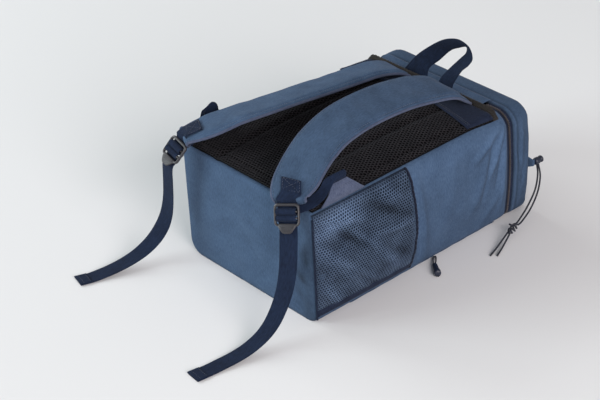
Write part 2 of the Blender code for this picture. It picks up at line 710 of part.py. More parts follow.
def build_handle(group):
    """Webbing grab handle, both ends sewn behind the binding."""
    y = BINDING_TOP_Y + 0.0015
    rows = []
    for across, rise, direction in HANDLE_ROWS:
        rows.append(((across * HANDLE_SPAN, y, BAG_DEPTH + 0.0005 + HANDLE_RISE * rise), direction))
    places = smooth([place for place, direction in rows], 34)
    halves = smooth([direction for place, direction in rows], 34)
    stations = [(place, half * HANDLE_WIDTH / 2) for place, half in zip(places, halves)]
    ribbon("carry_handle", stations, WEBBING, NAVY, 0.75, group)


def build_front_zip(group):
    """Hidden zip of the front pocket, under the rounded side edge, with its puller."""
    centre_x, centre_z = HALF_WIDTH - FRONT_RADIUS, FRONT_RADIUS
    inner, outer = FRONT_RADIUS + FIT, FRONT_RADIUS + FIT + 0.0008
    rings = []
    for y in (-0.34 * BAG_HEIGHT, -0.1 * BAG_HEIGHT, 0.1 * BAG_HEIGHT, 0.34 * BAG_HEIGHT):
        ring = []
        for radius, angles in ((inner, (26, 33, 40)), (outer, (40, 33, 26))):
            for angle in angles:
                turn = math.radians(angle)
                ring.append(Vector((centre_x + radius * math.sin(turn), y,
                                    centre_z - radius * math.cos(turn))))
        rings.append(ring)
    loft("front_zip", rings, NAVY, 0.7, group)

    start = Vector((HALF_WIDTH + 0.0145, 0.001, PULLER_RADIUS + 0.0003))
    end = Vector((HALF_WIDTH + 0.0145 + PULLER_LENGTH * 0.82, 0.001 - PULLER_LENGTH * 0.57,
                  PULLER_RADIUS * 1.15 + 0.0003))
    axis = (end - start).normalized()
    across = axis.cross(Vector((0, 0, 1))).normalized()
    upward = across.cross(axis)
    rings = []
    for share, wide in ((0.0, 0.70), (0.06, 0.82), (0.5, 0.95), (0.9, 1.15), (1.0, 1.0)):
        centre = start + axis * PULLER_LENGTH * share
        centre.z = PULLER_RADIUS * wide + 0.0003
        rings.append([centre + (across * math.cos(a) + upward * math.sin(a)) * PULLER_RADIUS * wide
                      for a in [math.tau * k / 12 for k in range(12)]])
    loft("puller_end", rings, NAVY, 0.5, group)

    gap = PULLER_CORD_RADIUS * 1.4
    anchor = Vector((HALF_WIDTH - 0.0002, 0.0165, PULLER_CORD_RADIUS + 0.0007))
    tail = start - axis * (FIT * 1.5)
    route = [tail + across * gap, anchor.lerp(tail, 0.5) + across * gap * 1.3,
             anchor + across * gap, anchor - axis * 0.001, anchor - across * gap,
             anchor.lerp(tail, 0.5) - across * gap * 1.3, tail - across * gap]
    tube("puller_cord", smooth(route, 17), PULLER_CORD_RADIUS, group)


def tube(name, points, radius, group):
    """Round cord as a bevelled poly curve with filled caps."""
    curve = bpy.data.curves.new(name, "CURVE")
    curve.dimensions = "3D"
    curve.bevel_depth = radius
    curve.bevel_resolution = 2
    curve.use_fill_caps = True
    spline = curve.splines.new("POLY")
    spline.points.add(len(points) - 1)
    for point, place in zip(spline.points, points):
        point.co = (*place, 1.0)
    return add_object(name, curve, NAVY, 0.7, group)


def turned(name, centre, axis, profile, colour, roughness, group, sides=14):
    """Round solid from (along, radius) rows about an axis."""
    across = axis.orthogonal().normalized()
    other = axis.cross(across)
    rings = []
    for along, radius in profile:
        rings.append([centre + axis * along + (across * math.cos(a) + other * math.sin(a)) * radius
                      for a in [math.tau * k / sides for k in range(sides)]])
    return loft(name, rings, colour, roughness, group)


def from_corner(offset):
    """Point at an offset from the foot of the lid's +X corner."""
    return Vector((HALF_WIDTH, TOP_Y, 0.0)) + Vector(offset)


def build_drawcord(group):
    """Cord lock on its loop at the lid's corner, with two knotted cords that reach the floor."""
    lock = from_corner(LOCK_OFFSET)
    routes = {"drawcord_near": CORD_NEAR_ROUTE, "drawcord_far": CORD_FAR_ROUTE,
              "cord_end_near": TIP_NEAR_ROUTE, "cord_end_far": TIP_FAR_ROUTE}
    places = {name: [from_corner(row) for row in rows] for name, rows in routes.items()}
    axis = Vector((0.0, 1.0, 0.0))
    turned("cord_lock", lock, axis,
           [(LOCK_LENGTH * along, LOCK_RADIUS * wide) for along, wide in LOCK_OUTLINE],
           NAVY, 0.45, group)
    root = Vector((HALF_WIDTH - 0.010, TOP_Y + SEAM, lock.z))
    tip = lock + Vector((0, -FIT, 0))
    upright = Vector((0, 0, 0.009))
    stations = [(root, upright), (root + Vector((0.006, 0.0012, 0)), upright),
                (tip + Vector((0, -0.003, 0)), upright * 0.6), (tip, upright * 0.5)]
    ribbon("cord_loop", stations, CLOTH, BODY_BLUE, 0.8, group)
    for name, points in places.items():
        tube(name, smooth(points, 17 if name.startswith("drawcord") else 9), CORD_RADIUS, group)
    start = places["drawcord_near"][-1].lerp(places["drawcord_far"][-1], 0.5)
    end = places["cord_end_near"][0].lerp(places["cord_end_far"][0], 0.5)
    along_knot = (end - start).normalized()
    gap = FIT * 2
    length = (end - start).length - 2 * gap
    turned("cord_knot", start + along_knot * gap, along_knot,
           [(length * along, KNOT_RADIUS * wide) for along, wide in KNOT_OUTLINE],
           NAVY, 0.8, group, sides=10)


def main():
    clear_scene()
    group = collection("cooler_backpack")
    tools = collection("cutters")
    build_body(group)
    build_lid(group)
    build_back(group)
    build_hinge(group)
    build_zip(group)
    build_pocket(group)
    sides = ((1, "right", STRAP_RIGHT, TAIL_RIGHT, TAIL_END_RIGHT),
             (-1, "left", STRAP_LEFT, TAIL_LEFT, TAIL_END_LEFT))
    for side, label, strap_rows, tail_rows, tail_end in sides:
        frames = build_strap(side, label, strap_rows, group)
        axes = buckle_frame(frames, side)
        build_buckle(side, label, axes, group, tools)
        build_patch(side, label, frames, axes, group)
        build_adjuster(side, label, axes, tail_rows, tail_end, group)
        build_tab(side, label, group)
    build_handle(group)
    build_front_zip(group)
    build_drawcord(group)


main()
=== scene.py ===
"""Cooler backpack lying on its front panel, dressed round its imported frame."""
import math

import bmesh
import bpy
from mathutils import Matrix, Vector, noise


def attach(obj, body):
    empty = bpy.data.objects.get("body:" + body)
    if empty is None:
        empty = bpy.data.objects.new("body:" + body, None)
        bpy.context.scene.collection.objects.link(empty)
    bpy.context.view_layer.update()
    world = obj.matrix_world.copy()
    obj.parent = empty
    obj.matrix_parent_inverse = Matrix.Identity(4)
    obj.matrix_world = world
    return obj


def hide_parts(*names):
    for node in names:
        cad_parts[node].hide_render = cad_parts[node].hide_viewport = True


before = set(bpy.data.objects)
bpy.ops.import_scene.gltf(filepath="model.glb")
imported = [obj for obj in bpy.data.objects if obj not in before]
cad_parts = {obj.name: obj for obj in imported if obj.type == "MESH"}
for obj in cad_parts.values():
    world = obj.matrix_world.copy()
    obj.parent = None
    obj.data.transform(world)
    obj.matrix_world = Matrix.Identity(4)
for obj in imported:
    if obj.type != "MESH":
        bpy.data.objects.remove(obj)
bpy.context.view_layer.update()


# Camera, floor and light. The camera stands in front of the bottom panel, to the
# right, and looks down on the bag. The floor is a plain pale sheet under soft
# studio light, brighter from the upper left.
camera_place = Vector((1.67102, -1.52308, 1.45007))
camera_right = Vector((0.6670, 0.7436, -0.0472))
camera_up = Vector((-0.3656, 0.3818, 0.8488))
camera_back = camera_right.cross(camera_up)
camera_data = bpy.data.cameras.new("camera")
camera_data.lens = 112.76
camera_data.sensor_width = 36.0
camera_data.clip_start = 0.05
camera = bpy.data.objects.new("camera", camera_data)
camera.matrix_world = Matrix((
    (camera_right.x, camera_up.x, camera_back.x, camera_place.x),
    (camera_right.y, camera_up.y, camera_back.y, camera_place.y),
    (camera_right.z, camera_up.z, camera_back.z, camera_place.z),
    (0.0, 0.0, 0.0, 1.0)))
bpy.context.scene.collection.objects.link(camera)
bpy.context.scene.camera = camera
bpy.context.scene.view_settings.view_transform = "Standard"

floor_half = 6.0
floor_drop = 0.0003
floor_mesh = bpy.data.meshes.new("floor")
floor_mesh.from_pydata(
    [(x * floor_half, y * floor_half, -floor_drop) for x, y in ((-1, -1), (1, -1), (1, 1), (-1, 1))],
    [], [(0, 1, 2, 3)])
floor = bpy.data.objects.new("floor", floor_mesh)
bpy.context.scene.collection.objects.link(floor)
floor_paint = bpy.data.materials.new("floor_paint")
floor_paint.use_nodes = True
floor_shader = floor_paint.node_tree.nodes["Principled BSDF"]
floor_shader.inputs["Base Color"].default_value = (0.68, 0.68, 0.68, 1.0)
floor_shader.inputs["Roughness"].default_value = 0.75
floor_shader.inputs["Specular IOR Level"].default_value = 0.15
floor_mesh.materials.append(floor_paint)

world = bpy.data.worlds.new("studio")
world.use_nodes = True
sky = world.node_tree.nodes["Background"]
sky.inputs["Color"].default_value = (0.97, 0.98, 1.0, 1.0)
sky.inputs["Strength"].default_value = 0.385
bpy.context.scene.world = world


def softbox(name, place, aim, size, watts, colour):
    """A square area light at a place, turned to shine at aim."""
    data = bpy.data.lights.new(name, "AREA")
    data.size = size
    data.energy = watts
    data.color = colour
    light = bpy.data.objects.new(name, data)
    light.location = place
    light.rotation_euler = (Vector(aim) - Vector(place)).to_track_quat("-Z", "Y").to_euler()
    bpy.context.scene.collection.objects.link(light)


softbox("left_window", (-3.5, -4.8, 2.0), (0.0, 0.0, 0.05), 3.8, 318.0, (0.87, 0.98, 1.0))
softbox("far_window", (-4.6, -0.4, 2.2), (0.0, 0.0, 0.05), 3.0, 130.0, (0.94, 0.99, 1.0))
softbox("right_window", (4.6, -1.3, 2.4), (0.0, 0.0, 0.05), 2.8, 290.0, (1.0, 0.93, 0.94))


# Drawcords. Two limp braided cords, 2.6 mm thick, leave the cord lock at the lid's
# corner, run down to one overhand knot and go on to two bare ends on the floor.
bag_half = 0.1325
bag_bottom = -0.205
bag_top = 0.205
bag_depth = 0.170
cord_radius = 0.0013
cord_blue = (0.0035, 0.006, 0.016)
cord_routes = {
    "near": ((0.1365, 0.2198, 0.0668), (0.1396, 0.2188, 0.0500), (0.1465, 0.2060, 0.0330),
             (0.1560, 0.1800, 0.0210), (0.1655, 0.1520, 0.0150), (0.1680, 0.1422, 0.0136)),
    "far": ((0.1397, 0.2198, 0.0668), (0.1436, 0.2198, 0.0480), (0.1520, 0.2050, 0.0310),
            (0.1625, 0.1790, 0.0200), (0.1705, 0.1530, 0.0150), (0.1718, 0.1428, 0.0136)),
}
tip_routes = {
    "near": ((0.1712, 0.1227, 0.0105), (0.1740, 0.1120, 0.0078), (0.1795, 0.0920, 0.0036),
             (0.1850, 0.0730, 0.0015)),
    "far": ((0.1748, 0.1233, 0.0105), (0.1790, 0.1130, 0.0078), (0.1860, 0.0950, 0.0036),
            (0.1920, 0.0790, 0.0015)),
}


def smooth(rows, count):
    """Curve through rows of numbers, read at count even steps."""
    points = [Vector(row) for row in rows]
    points = [2 * points[0] - points[1], *points, 2 * points[-1] - points[-2]]
    spans = len(points) - 3
    result = []
    for k in range(count):
        step = spans * k / (count - 1)
        i = min(int(step), spans - 1)
        t = step - i
        a, b, c, d = points[i:i + 4]
        result.append(0.5 * (2 * b + (c - a) * t + (2 * a - 5 * b + 4 * c - d) * t * t
                             + (3 * b - a - 3 * c + d) * t ** 3))
    return result


def cord_curve(name, routes, radius):
    """Round cord along each route, as one curve object."""
    curve = bpy.data.curves.new(name, "CURVE")
    curve.dimensions = "3D"
    curve.bevel_depth = radius
    curve.bevel_resolution = 3
    curve.use_fill_caps = True
    for route in routes:
        spline = curve.splines.new("POLY")
        spline.points.add(len(route) - 1)
        for point, spot in zip(spline.points, route):
            point.co = (*spot, 1.0)
            spline.use_smooth = True
    return bpy.data.objects.new(name, curve)


def set_on_bag(thing, finish, slot, *nodes):
    """Give a piece its finish, fix it to the bag and let it stand for its CAD nodes."""
    thing.data.materials.append(finish)
    bpy.context.scene.collection.objects.link(thing)
    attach(thing, "root")
    if nodes:
        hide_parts(*nodes)
    return thing


def braid_finish(name, colour, pitch):
    """Braided cord: slanting strands in relief, darker between them."""
    made = bpy.data.materials.new(name)
    made.use_nodes = True
    nodes, links = made.node_tree.nodes, made.node_tree.links
    shader = nodes["Principled BSDF"]
    shader.inputs["Sheen Weight"].default_value = 0.15
    where = nodes.new("ShaderNodeTexCoord")
    wave = nodes.new("ShaderNodeTexWave")
    wave.bands_direction = "DIAGONAL"
    wave.inputs["Scale"].default_value = 0.314 / pitch
    wave.inputs["Distortion"].default_value = 1.2
    links.new(where.outputs["Object"], wave.inputs["Vector"])
    ramp = nodes.new("ShaderNodeValToRGB")
    ramp.color_ramp.elements[0].color = (*(0.45 * c for c in colour), 1.0)
    ramp.color_ramp.elements[1].color = (*(1.5 * c for c in colour), 1.0)
    links.new(wave.outputs["Fac"], ramp.inputs["Fac"])
    links.new(ramp.outputs["Color"], shader.inputs["Base Color"])
    rough = nodes.new("ShaderNodeMapRange")
    rough.inputs["To Min"].default_value = 0.85
    rough.inputs["To Max"].default_value = 0.60
    links.new(wave.outputs["Fac"], rough.inputs["Value"])
    links.new(rough.outputs["Result"], shader.inputs["Roughness"])
    bump = nodes.new("ShaderNodeBump")
    bump.inputs["Strength"].default_value = 0.6
    bump.inputs["Distance"].default_value = 0.0003
    links.new(wave.outputs["Fac"], bump.inputs["Height"])
    links.new(bump.outputs["Normal"], shader.inputs["Normal"])
    return made


cord_finish = braid_finish("drawcord_braid", cord_blue, 0.0012)

knot_start = (Vector(cord_routes["near"][-1]) + Vector(cord_routes["far"][-1])) / 2
knot_end = (Vector(tip_routes["near"][0]) + Vector(tip_routes["far"][0])) / 2
knot_axis = (knot_end - knot_start).normalized()
knot_across = knot_axis.orthogonal().normalized()
knot_other = knot_axis.cross(knot_across)
knot_strands = []
for strand in range(2):
    turns = []
    for k in range(40):
        share = k / 39
        angle = math.tau * (1.6 * share + 0.5 * strand)
        radius = 0.0018 + 0.0024 * max(0.0, math.sin(math.pi * share)) ** 0.6
        sway = 0.0020 * math.sin(math.tau * 1.5 * share + 2.1 * strand)
        turns.append(knot_start + knot_axis * (0.0008 + 0.0184 * share + sway * math.sin(math.pi * share))
                     + knot_across * radius * math.cos(angle) + knot_other * radius * math.sin(angle))
    knot_strands.append(turns)
knot_frayed = [knot_start.lerp(knot_end, 0.45) + Vector(v) for v in
               ((0.0, 0.0, 0.002), (-0.003, -0.001, 0.0045), (-0.0062, -0.002, 0.0050))]
cord_knot = cord_curve("knot_of_cords", [*knot_strands, knot_frayed], cord_radius * 1.08)
set_on_bag(cord_knot, cord_finish, "cord", "cord_knot")

for side, rows in cord_routes.items():
    route = smooth(rows, 31)
    hanging = set_on_bag(cord_curve("cord_from_lock_" + side, [route], cord_radius),
                         cord_finish, "cord", "drawcord_" + side)
for side, rows in tip_routes.items():
    route = smooth(rows, 17)
    tip = set_on_bag(cord_curve("cord_tip_" + side, [route], cord_radius),
                     cord_finish, "cord", "cord_end_" + side)


# Body. The tub is slate-blue woven polyester over foam, cut as one bottom panel and
# a wrapped wall. The side panels swell, with a soft break line below the back edge
# and folds where the zip and the pocket pull on them.
body_rim = 0.157
front_radius = 0.012
back_radius = 0.007
bottom_round = 0.006
slack_corner = 0.020
far_front_radius = 0.020
wall_thick = 0.0035
side_bulge = 0.011
break_line = 0.105
body_blue = (0.045, 0.079, 0.137)
body_fleck = (0.070, 0.112, 0.188)
body_shadow = (0.030, 0.053, 0.099)
swell_rows = ((0.00, 0.00), (0.12, 0.55), (0.30, 0.92), (0.50, 1.00),
              (0.70, 0.94), (0.86, 0.76), (0.96, 0.60), (1.00, 0.55))
# Folds on the +X side: from (y, z) to (y, z), half width, height
side_folds = (
    (0.150, 0.152, 0.116, 0.085, 0.0046, 0.0052), (0.152, 0.140, 0.134, 0.066, 0.0036, -0.0046),
    (0.142, 0.156, 0.088, 0.124, 0.0056, 0.0046), (0.130, 0.146, 0.106, 0.058, 0.0052, -0.0036),
    (0.120, 0.130, 0.086, 0.050, 0.0080, 0.0028), (0.153, 0.112, 0.144, 0.026, 0.0042, 0.0036),
    (-0.031, 0.155, -0.020, 0.020, 0.0040, -0.0046), (-0.022, 0.150, -0.006, 0.015, 0.0060, 0.0034),
    (0.050, 0.148, 0.030, 0.050, 0.0110, 0.0010), (0.080, 0.148, 0.075, 0.050, 0.0080, -0.0007),
    (0.148, 0.060, 0.110, 0.020, 0.0060, 0.0018),
)
# Folds on the bottom panel: from (x, z) to (x, z), half width, height
bottom_folds = (
    (0.114, 0.120, 0.072, 0.012, 0.0055, 0.0034), (0.120, 0.092, 0.096, 0.008, 0.0040, -0.0028),
    (0.122, 0.142, 0.104, 0.040, 0.0050, 0.0026), (0.100, 0.150, 0.052, 0.060, 0.0080, -0.0018),
    (-0.020, 0.160, 0.030, 0.060, 0.0160, 0.0018),
    (-0.060, 0.150, -0.110, 0.020, 0.0200, 0.0020), (0.090, 0.050, 0.020, 0.012, 0.0090, 0.0016),
)


def read(table, share):
    """Read a two-column table, with straight lines between its rows."""
    for (low, a), (high, b) in zip(table, table[1:]):
        if share <= high:
            return a + (b - a) * max(0.0, (share - low) / (high - low))
    return table[-1][1]


def fold_height(folds, a, b):
    """Sum of soft ridges at (a, b), each along its own line."""
    total = 0.0
    for a0, b0, a1, b1, width, height in folds:
        line_a, line_b = a1 - a0, b1 - b0
        share = ((a - a0) * line_a + (b - b0) * line_b) / (line_a ** 2 + line_b ** 2)
        near = min(max(share, 0.0), 1.0)
        gap = math.hypot(a - a0 - line_a * near, b - b0 - line_b * near)
        total += height * math.exp(-(gap / width) ** 2) * math.sin(math.pi * (0.12 + 0.76 * near))
    return total


def side_out(y, z):
    """How far a side panel stands out past the box at (y, z), folds left out."""
    along = (y - bag_bottom) / (body_rim - bag_bottom)
    down = 1 - min(max(z / bag_depth, 0.0), 1.0)
    if down < break_line:
        crown = 0.54 * (down / break_line) ** 0.90
    elif down < 0.5:
        crown = 0.54 + 0.46 * math.sin(math.pi / 2 * (down - break_line) / (0.5 - break_line))
    else:
        crown = math.sin(math.pi * down)
    return side_bulge * read(swell_rows, along) * crown


def back_corner(y):
    """Radius of the long back edges: tight along the back, slack towards the lid."""
    share = min(max((y - 0.070) / 0.080, 0.0), 1.0)
    return back_radius + (slack_corner - back_radius) * share * share * (3 - 2 * share)


def back_drop(x, y):
    """How far the back sinks where its long edges round off."""
    radius = back_corner(y)
    past = min(max(0.0, abs(x) - (bag_half - radius)), radius)
    return radius - math.sqrt(radius ** 2 - past ** 2)


def outline(half, low, high, back):
    """Dense section of the bag: (x, z) points round a box with rounded corners."""
    corners = ((half - front_radius, low + front_radius, front_radius, -90),
               (half - back, high - back, back, 0),
               (-half + back, high - back, back, 90),
               (-half + far_front_radius, low + far_front_radius, far_front_radius, 180))
    arcs = []
    for x, z, radius, start in corners:
        arcs.append([(x + radius * math.cos(math.radians(start + 15 * k)),
                      z + radius * math.sin(math.radians(start + 15 * k))) for k in range(7)])
    points = []
    for i, arc in enumerate(arcs):
        points += arc
        (x0, z0), (x1, z1) = arc[-1], arcs[(i + 1) % 4][0]
        steps = 34 if i % 2 == 0 else 40
        points += [(x0 + (x1 - x0) * k / steps, z0 + (z1 - z0) * k / steps) for k in range(1, steps)]
    return points


def ripple(point, size, height):
    """Gentle uneven surface of cloth over foam."""
    return height * noise.noise(point / size)


def body_ring(y, inset):
    ring = []
    for x, z in outline(bag_half - inset, 0.0, bag_depth - inset, back_corner(y)):
        side = math.copysign(1.0, x)
        on_side = max(0.0, min(1.0, (abs(x) - (bag_half - inset) * 0.9) / (bag_half * 0.06)))
        fade = max(0.0, math.sin(math.pi * min(max(z / bag_depth, 0.0), 1.0))) ** 0.6
        out = side_out(y, z)
        end_fade = min(1.0, max(0.0, (body_rim - y) / 0.010), max(0.0, (y - bag_bottom) / 0.008))
        if side > 0:
            out += fold_height(side_folds, y, z) * end_fade
        out += ripple(Vector((x, y, z)), 0.045, 0.0022) * fade * end_fade
        out += ripple(Vector((x, y, z)) + Vector((3, 0, 0)), 0.018, 0.0007) * fade * end_fade
        ring.append(Vector((x + side * out * on_side, y, z)))
    return ring


def skin(name, rows, ring=False, caps=False):
    """Mesh over rows of points. Its UV map, named cloth, counts metres across and along."""
    count = len(rows[0])
    span = count if ring else count - 1
    faces = []
    for r in range(len(rows) - 1):
        for c in range(span):
            d = (c + 1) % count
            faces.append((r * count + c, r * count + d, (r + 1) * count + d, (r + 1) * count + c))
    middle = rows[len(rows) // 2]
    across = [0.0]
    for c in range(span):
        across.append(across[-1] + (middle[(c + 1) % count] - middle[c]).length)
    along = [0.0]
    for low, high in zip(rows, rows[1:]):
        along.append(along[-1] + (high[count // 4] - low[count // 4]).length)
    spots = [(across[c + dc], along[r + dr]) for r in range(len(rows) - 1) for c in range(span)
             for dr, dc in ((0, 0), (0, 1), (1, 1), (1, 0))]
    if caps:
        last = (len(rows) - 1) * count
        faces += [tuple(range(count - 1, -1, -1)), tuple(range(last, last + count))]
        spots += [(across[c], 0.0) for c in range(count - 1, -1, -1)]
        spots += [(across[c], along[-1]) for c in range(count)]
    mesh = bpy.data.meshes.new(name)
    mesh.from_pydata([tuple(point) for row in rows for point in row], [], faces)
    layer = mesh.uv_layers.new(name="cloth")
    layer.data.foreach_set("uv", [value for spot in spots for value in spot])
    mesh.polygons.foreach_set("use_smooth", [True] * len(faces))
    return mesh


def lay_flat_uv(mesh):
    """Set the cloth map from the panel each face belongs to, by the way it faces."""
    layer = mesh.uv_layers["cloth"]
    for face in mesh.polygons:
        ways = [abs(face.normal.x), abs(face.normal.y), abs(face.normal.z)]
        pair = ((1, 2), (0, 2), (0, 1))[ways.index(max(ways))]
        for i in face.loop_indices:
            point = mesh.vertices[mesh.loops[i].vertex_index].co
            layer.data[i].uv = (point[pair[0]], point[pair[1]])


def woven_finish(name, colour, fleck, shadow, thread, relief, sheen, mottle=35.0):
    """Plain woven cloth: two crossing sets of threads, a heather fleck and a soft sheen."""
    made = bpy.data.materials.new(name)
    made.use_nodes = True
    nodes, links = made.node_tree.nodes, made.node_tree.links
    shader = nodes["Principled BSDF"]
    shader.inputs["Sheen Weight"].default_value = sheen
    shader.inputs["Sheen Roughness"].default_value = 0.5
    shader.inputs["Sheen Tint"].default_value = (0.55, 0.62, 0.80, 1.0)
    shader.inputs["Specular IOR Level"].default_value = 0.12
    cloth = nodes.new("ShaderNodeUVMap")
    cloth.uv_map = "cloth"
    threads = []
    for way in ("X", "Y"):
        wave = nodes.new("ShaderNodeTexWave")
        wave.bands_direction = way
        wave.inputs["Scale"].default_value = 0.314 / thread
        wave.inputs["Distortion"].default_value = 0.5
        wave.inputs["Detail Scale"].default_value = 2.0
        links.new(cloth.outputs["UV"], wave.inputs["Vector"])
        threads.append(wave)
    weave = nodes.new("ShaderNodeMath")
    weave.operation = "MULTIPLY"
    links.new(threads[0].outputs["Fac"], weave.inputs[0])
    links.new(threads[1].outputs["Fac"], weave.inputs[1])
    stretch = nodes.new("ShaderNodeMapping")
    stretch.inputs["Scale"].default_value = (1.0, 0.34, 1.0)
    links.new(cloth.outputs["UV"], stretch.inputs["Vector"])
    slub = nodes.new("ShaderNodeTexNoise")
    slub.inputs["Scale"].default_value = 0.42 / thread
    slub.inputs["Detail"].default_value = 3.0
    links.new(stretch.outputs["Vector"], slub.inputs["Vector"])
    where = nodes.new("ShaderNodeTexCoord")
    patch = nodes.new("ShaderNodeTexNoise")
    patch.inputs["Scale"].default_value = mottle
    patch.inputs["Detail"].default_value = 4.0
    links.new(where.outputs["Object"], patch.inputs["Vector"])
    both = nodes.new("ShaderNodeMath")
    both.operation = "MULTIPLY_ADD"
    both.inputs[1].default_value = 0.55
    links.new(slub.outputs["Fac"], both.inputs[0])
    part = nodes.new("ShaderNodeMath")
    part.operation = "MULTIPLY"
    part.inputs[1].default_value = 0.30
    links.new(patch.outputs["Fac"], part.inputs[0])
    links.new(part.outputs["Value"], both.inputs[2])
    tone = nodes.new("ShaderNodeMath")
    tone.operation = "MULTIPLY_ADD"
    tone.inputs[1].default_value = 0.22
    links.new(weave.outputs["Value"], tone.inputs[0])
    links.new(both.outputs["Value"], tone.inputs[2])
    ramp = nodes.new("ShaderNodeValToRGB")
    ramp.color_ramp.elements[0].position = 0.28
    ramp.color_ramp.elements[0].color = (*shadow, 1.0)
    ramp.color_ramp.elements[1].position = 0.80
    ramp.color_ramp.elements[1].color = (*fleck, 1.0)
    ramp.color_ramp.elements.new(0.50).color = (*colour, 1.0)
    links.new(tone.outputs["Value"], ramp.inputs["Fac"])
    links.new(ramp.outputs["Color"], shader.inputs["Base Color"])
    rough = nodes.new("ShaderNodeMapRange")
    rough.inputs["To Min"].default_value = 0.95
    rough.inputs["To Max"].default_value = 0.72
    links.new(weave.outputs["Value"], rough.inputs["Value"])
    links.new(rough.outputs["Result"], shader.inputs["Roughness"])
    height = nodes.new("ShaderNodeMath")
    height.operation = "MULTIPLY_ADD"
    height.inputs[1].default_value = 0.5
    links.new(slub.outputs["Fac"], height.inputs[0])
    links.new(weave.outputs["Value"], height.inputs[2])
    bump = nodes.new("ShaderNodeBump")
    bump.inputs["Strength"].default_value = relief
    bump.inputs["Distance"].default_value = thread * 0.5
    links.new(height.outputs["Value"], bump.inputs["Height"])
    links.new(bump.outputs["Normal"], shader.inputs["Normal"])
    return made


def thicken(thing, depth, offset=-1.0):
    """Turn a single skin into cloth of a real thickness."""
    walls = thing.modifiers.new("thickness", "SOLIDIFY")
    walls.thickness = depth
    walls.offset = offset
    return thing


def close_caps(mesh):
    """Close the small holes left at the middle of a ring mesh's two ends."""
    paint = bmesh.new()
    paint.from_mesh(mesh)
    bmesh.ops.remove_doubles(paint, verts=paint.verts, dist=0.0004)
    bmesh.ops.holes_fill(paint, edges=paint.edges, sides=40)
    bmesh.ops.recalc_face_normals(paint, faces=paint.faces)
    paint.to_mesh(mesh)
    paint.free()


def shade_by(mesh, finish, reading):
    """Tint the finish by a number read at each point of the mesh: painted light and shade, paler on folds and darker in
    hollows.
    """
    layer = mesh.attributes.new("shade", "FLOAT", "POINT")
    layer.data.foreach_set("value", [min(2.0, max(0.35, reading(vertex.co))) for vertex in mesh.vertices])
    if "shade_value" in finish.node_tree.nodes:
        return
    nodes, links = finish.node_tree.nodes, finish.node_tree.links
    shader = nodes["Principled BSDF"]
    value = nodes.new("ShaderNodeAttribute")
    value.name = "shade_value"
    value.attribute_name = "shade"
    scaled = nodes.new("ShaderNodeVectorMath")
    scaled.operation = "SCALE"
    links.new(shader.inputs["Base Color"].links[0].from_socket, scaled.inputs["Vector"])
    links.new(value.outputs["Fac"], scaled.inputs["Scale"])
    links.new(scaled.outputs["Vector"], shader.inputs["Base Color"])


def crease_painted_shade(folds, a, b):
    """Painted light and shade of a fold, as if lit from the upper left: a painted highlight on its upper left flank and
    painted shade on its lower right one.
    """
    step = 0.0012
    return 140 * (fold_height(folds, a + step, b - step) - fold_height(folds, a - step, b + step))


def body_painted_shade(point):
    """The cloth's painted light and shade: painted shading on the creases, a painted highlight along the swell's upper
    edge, paler towards the top and darker towards the floor, a painted shadow in the bottom panel's hollow, and random
    blotches.
    """
    high = point.z / bag_depth
    mottling = 0.10 * noise.noise(point / 0.03) + 0.07 * noise.noise(point / 0.010)
    if point.y < bag_bottom + 0.002:
        # Bottom panel: painted paler as painted light, with a painted shadow in the hollow near its right edge.
        hollow_shadow = 0.46 * math.exp(-((point.x - 0.120) / 0.024) ** 2) * min(1.0, max(0.0, (0.150 - point.z) / 0.04))
        return 1.08 + crease_painted_shade(bottom_folds, point.x, point.z) + mottling - hollow_shadow
    # Walls: a painted highlight along the swell's upper edge, and painted shade that darkens the cloth towards the
    # floor.
    shoulder_highlight = 0.10 * math.exp(-((high - 0.88) / 0.06) ** 2)
    creases = crease_painted_shade(side_folds, point.y, point.z) if point.x > 0.9 * bag_half else 0.0
    return 0.92 + 0.14 * high + shoulder_highlight + creases + mottling


body_rings = []
for k in range(7):
    turn = math.radians(15 * k)
    body_rings.append(body_ring(bag_bottom + bottom_round * (1 - math.cos(turn)),
                                bottom_round * (1 - math.sin(turn))))
wall_rows = 108
for k in range(1, wall_rows + 1):
    y = bag_bottom + bottom_round + (body_rim - bag_bottom - bottom_round) * k / wall_rows
    body_rings.append(body_ring(y, 0.0009 * max(0.0, 1 - (body_rim - y) / 0.008)))
bottom_rings = []
for k in range(15, 0, -1):
    share = max(0.002, 1 - k / 15)
    ring = []
    for spot in body_rings[0]:
        x, z = spot.x * share, bag_depth / 2 + (spot.z - bag_depth / 2) * share
        edge = 1 - share ** 2
        out = 0.0030 * edge + (fold_height(bottom_folds, x, z)
                               + ripple(Vector((x, -1.0, z)), 0.05, 0.0018)) * min(1.0, edge * 4)
        ring.append(Vector((x, bag_bottom - out, z)))
    bottom_rings.append(ring)
body_mesh = skin("body_cloth", bottom_rings + body_rings, ring=True)
close_caps(body_mesh)
lay_flat_uv(body_mesh)
body_finish = woven_finish("slate_blue_weave", body_blue, body_fleck, body_shadow, 0.0008, 0.35, 0.05)
# A copy of the body cloth whose colour carries painted light and shade from shade_by.
painted_shade_finish = woven_finish("slate_blue_painted_shade", body_blue, body_fleck, body_shadow, 0.0008, 0.35, 0.05)
shade_by(body_mesh, painted_shade_finish, body_painted_shade)
body_cloth = set_on_bag(bpy.data.objects.new("body_cloth", body_mesh), painted_shade_finish,
                        "body_fabric", "body_shell")
thicken(body_cloth, wall_thick)


# Back panel. Black air mesh with brown-grey threads lies over a foam pad; a flat
# border runs round the pad, and one stitched channel runs up each side.
panel_half = bag_half - back_radius * 0.7
panel_top = 0.157 - 0.008 - 0.010 - 0.0003
panel_low = bag_bottom + bottom_round
panel_run = panel_top - bag_bottom
panel_edge = 0.003
panel_dome = 0.011
panel_channel = 0.004
panel_border = 0.013
mesh_pitch = 0.0050
mesh_thread = (0.016, 0.0150, 0.0172)
foam_black = (0.0022, 0.0022, 0.003)


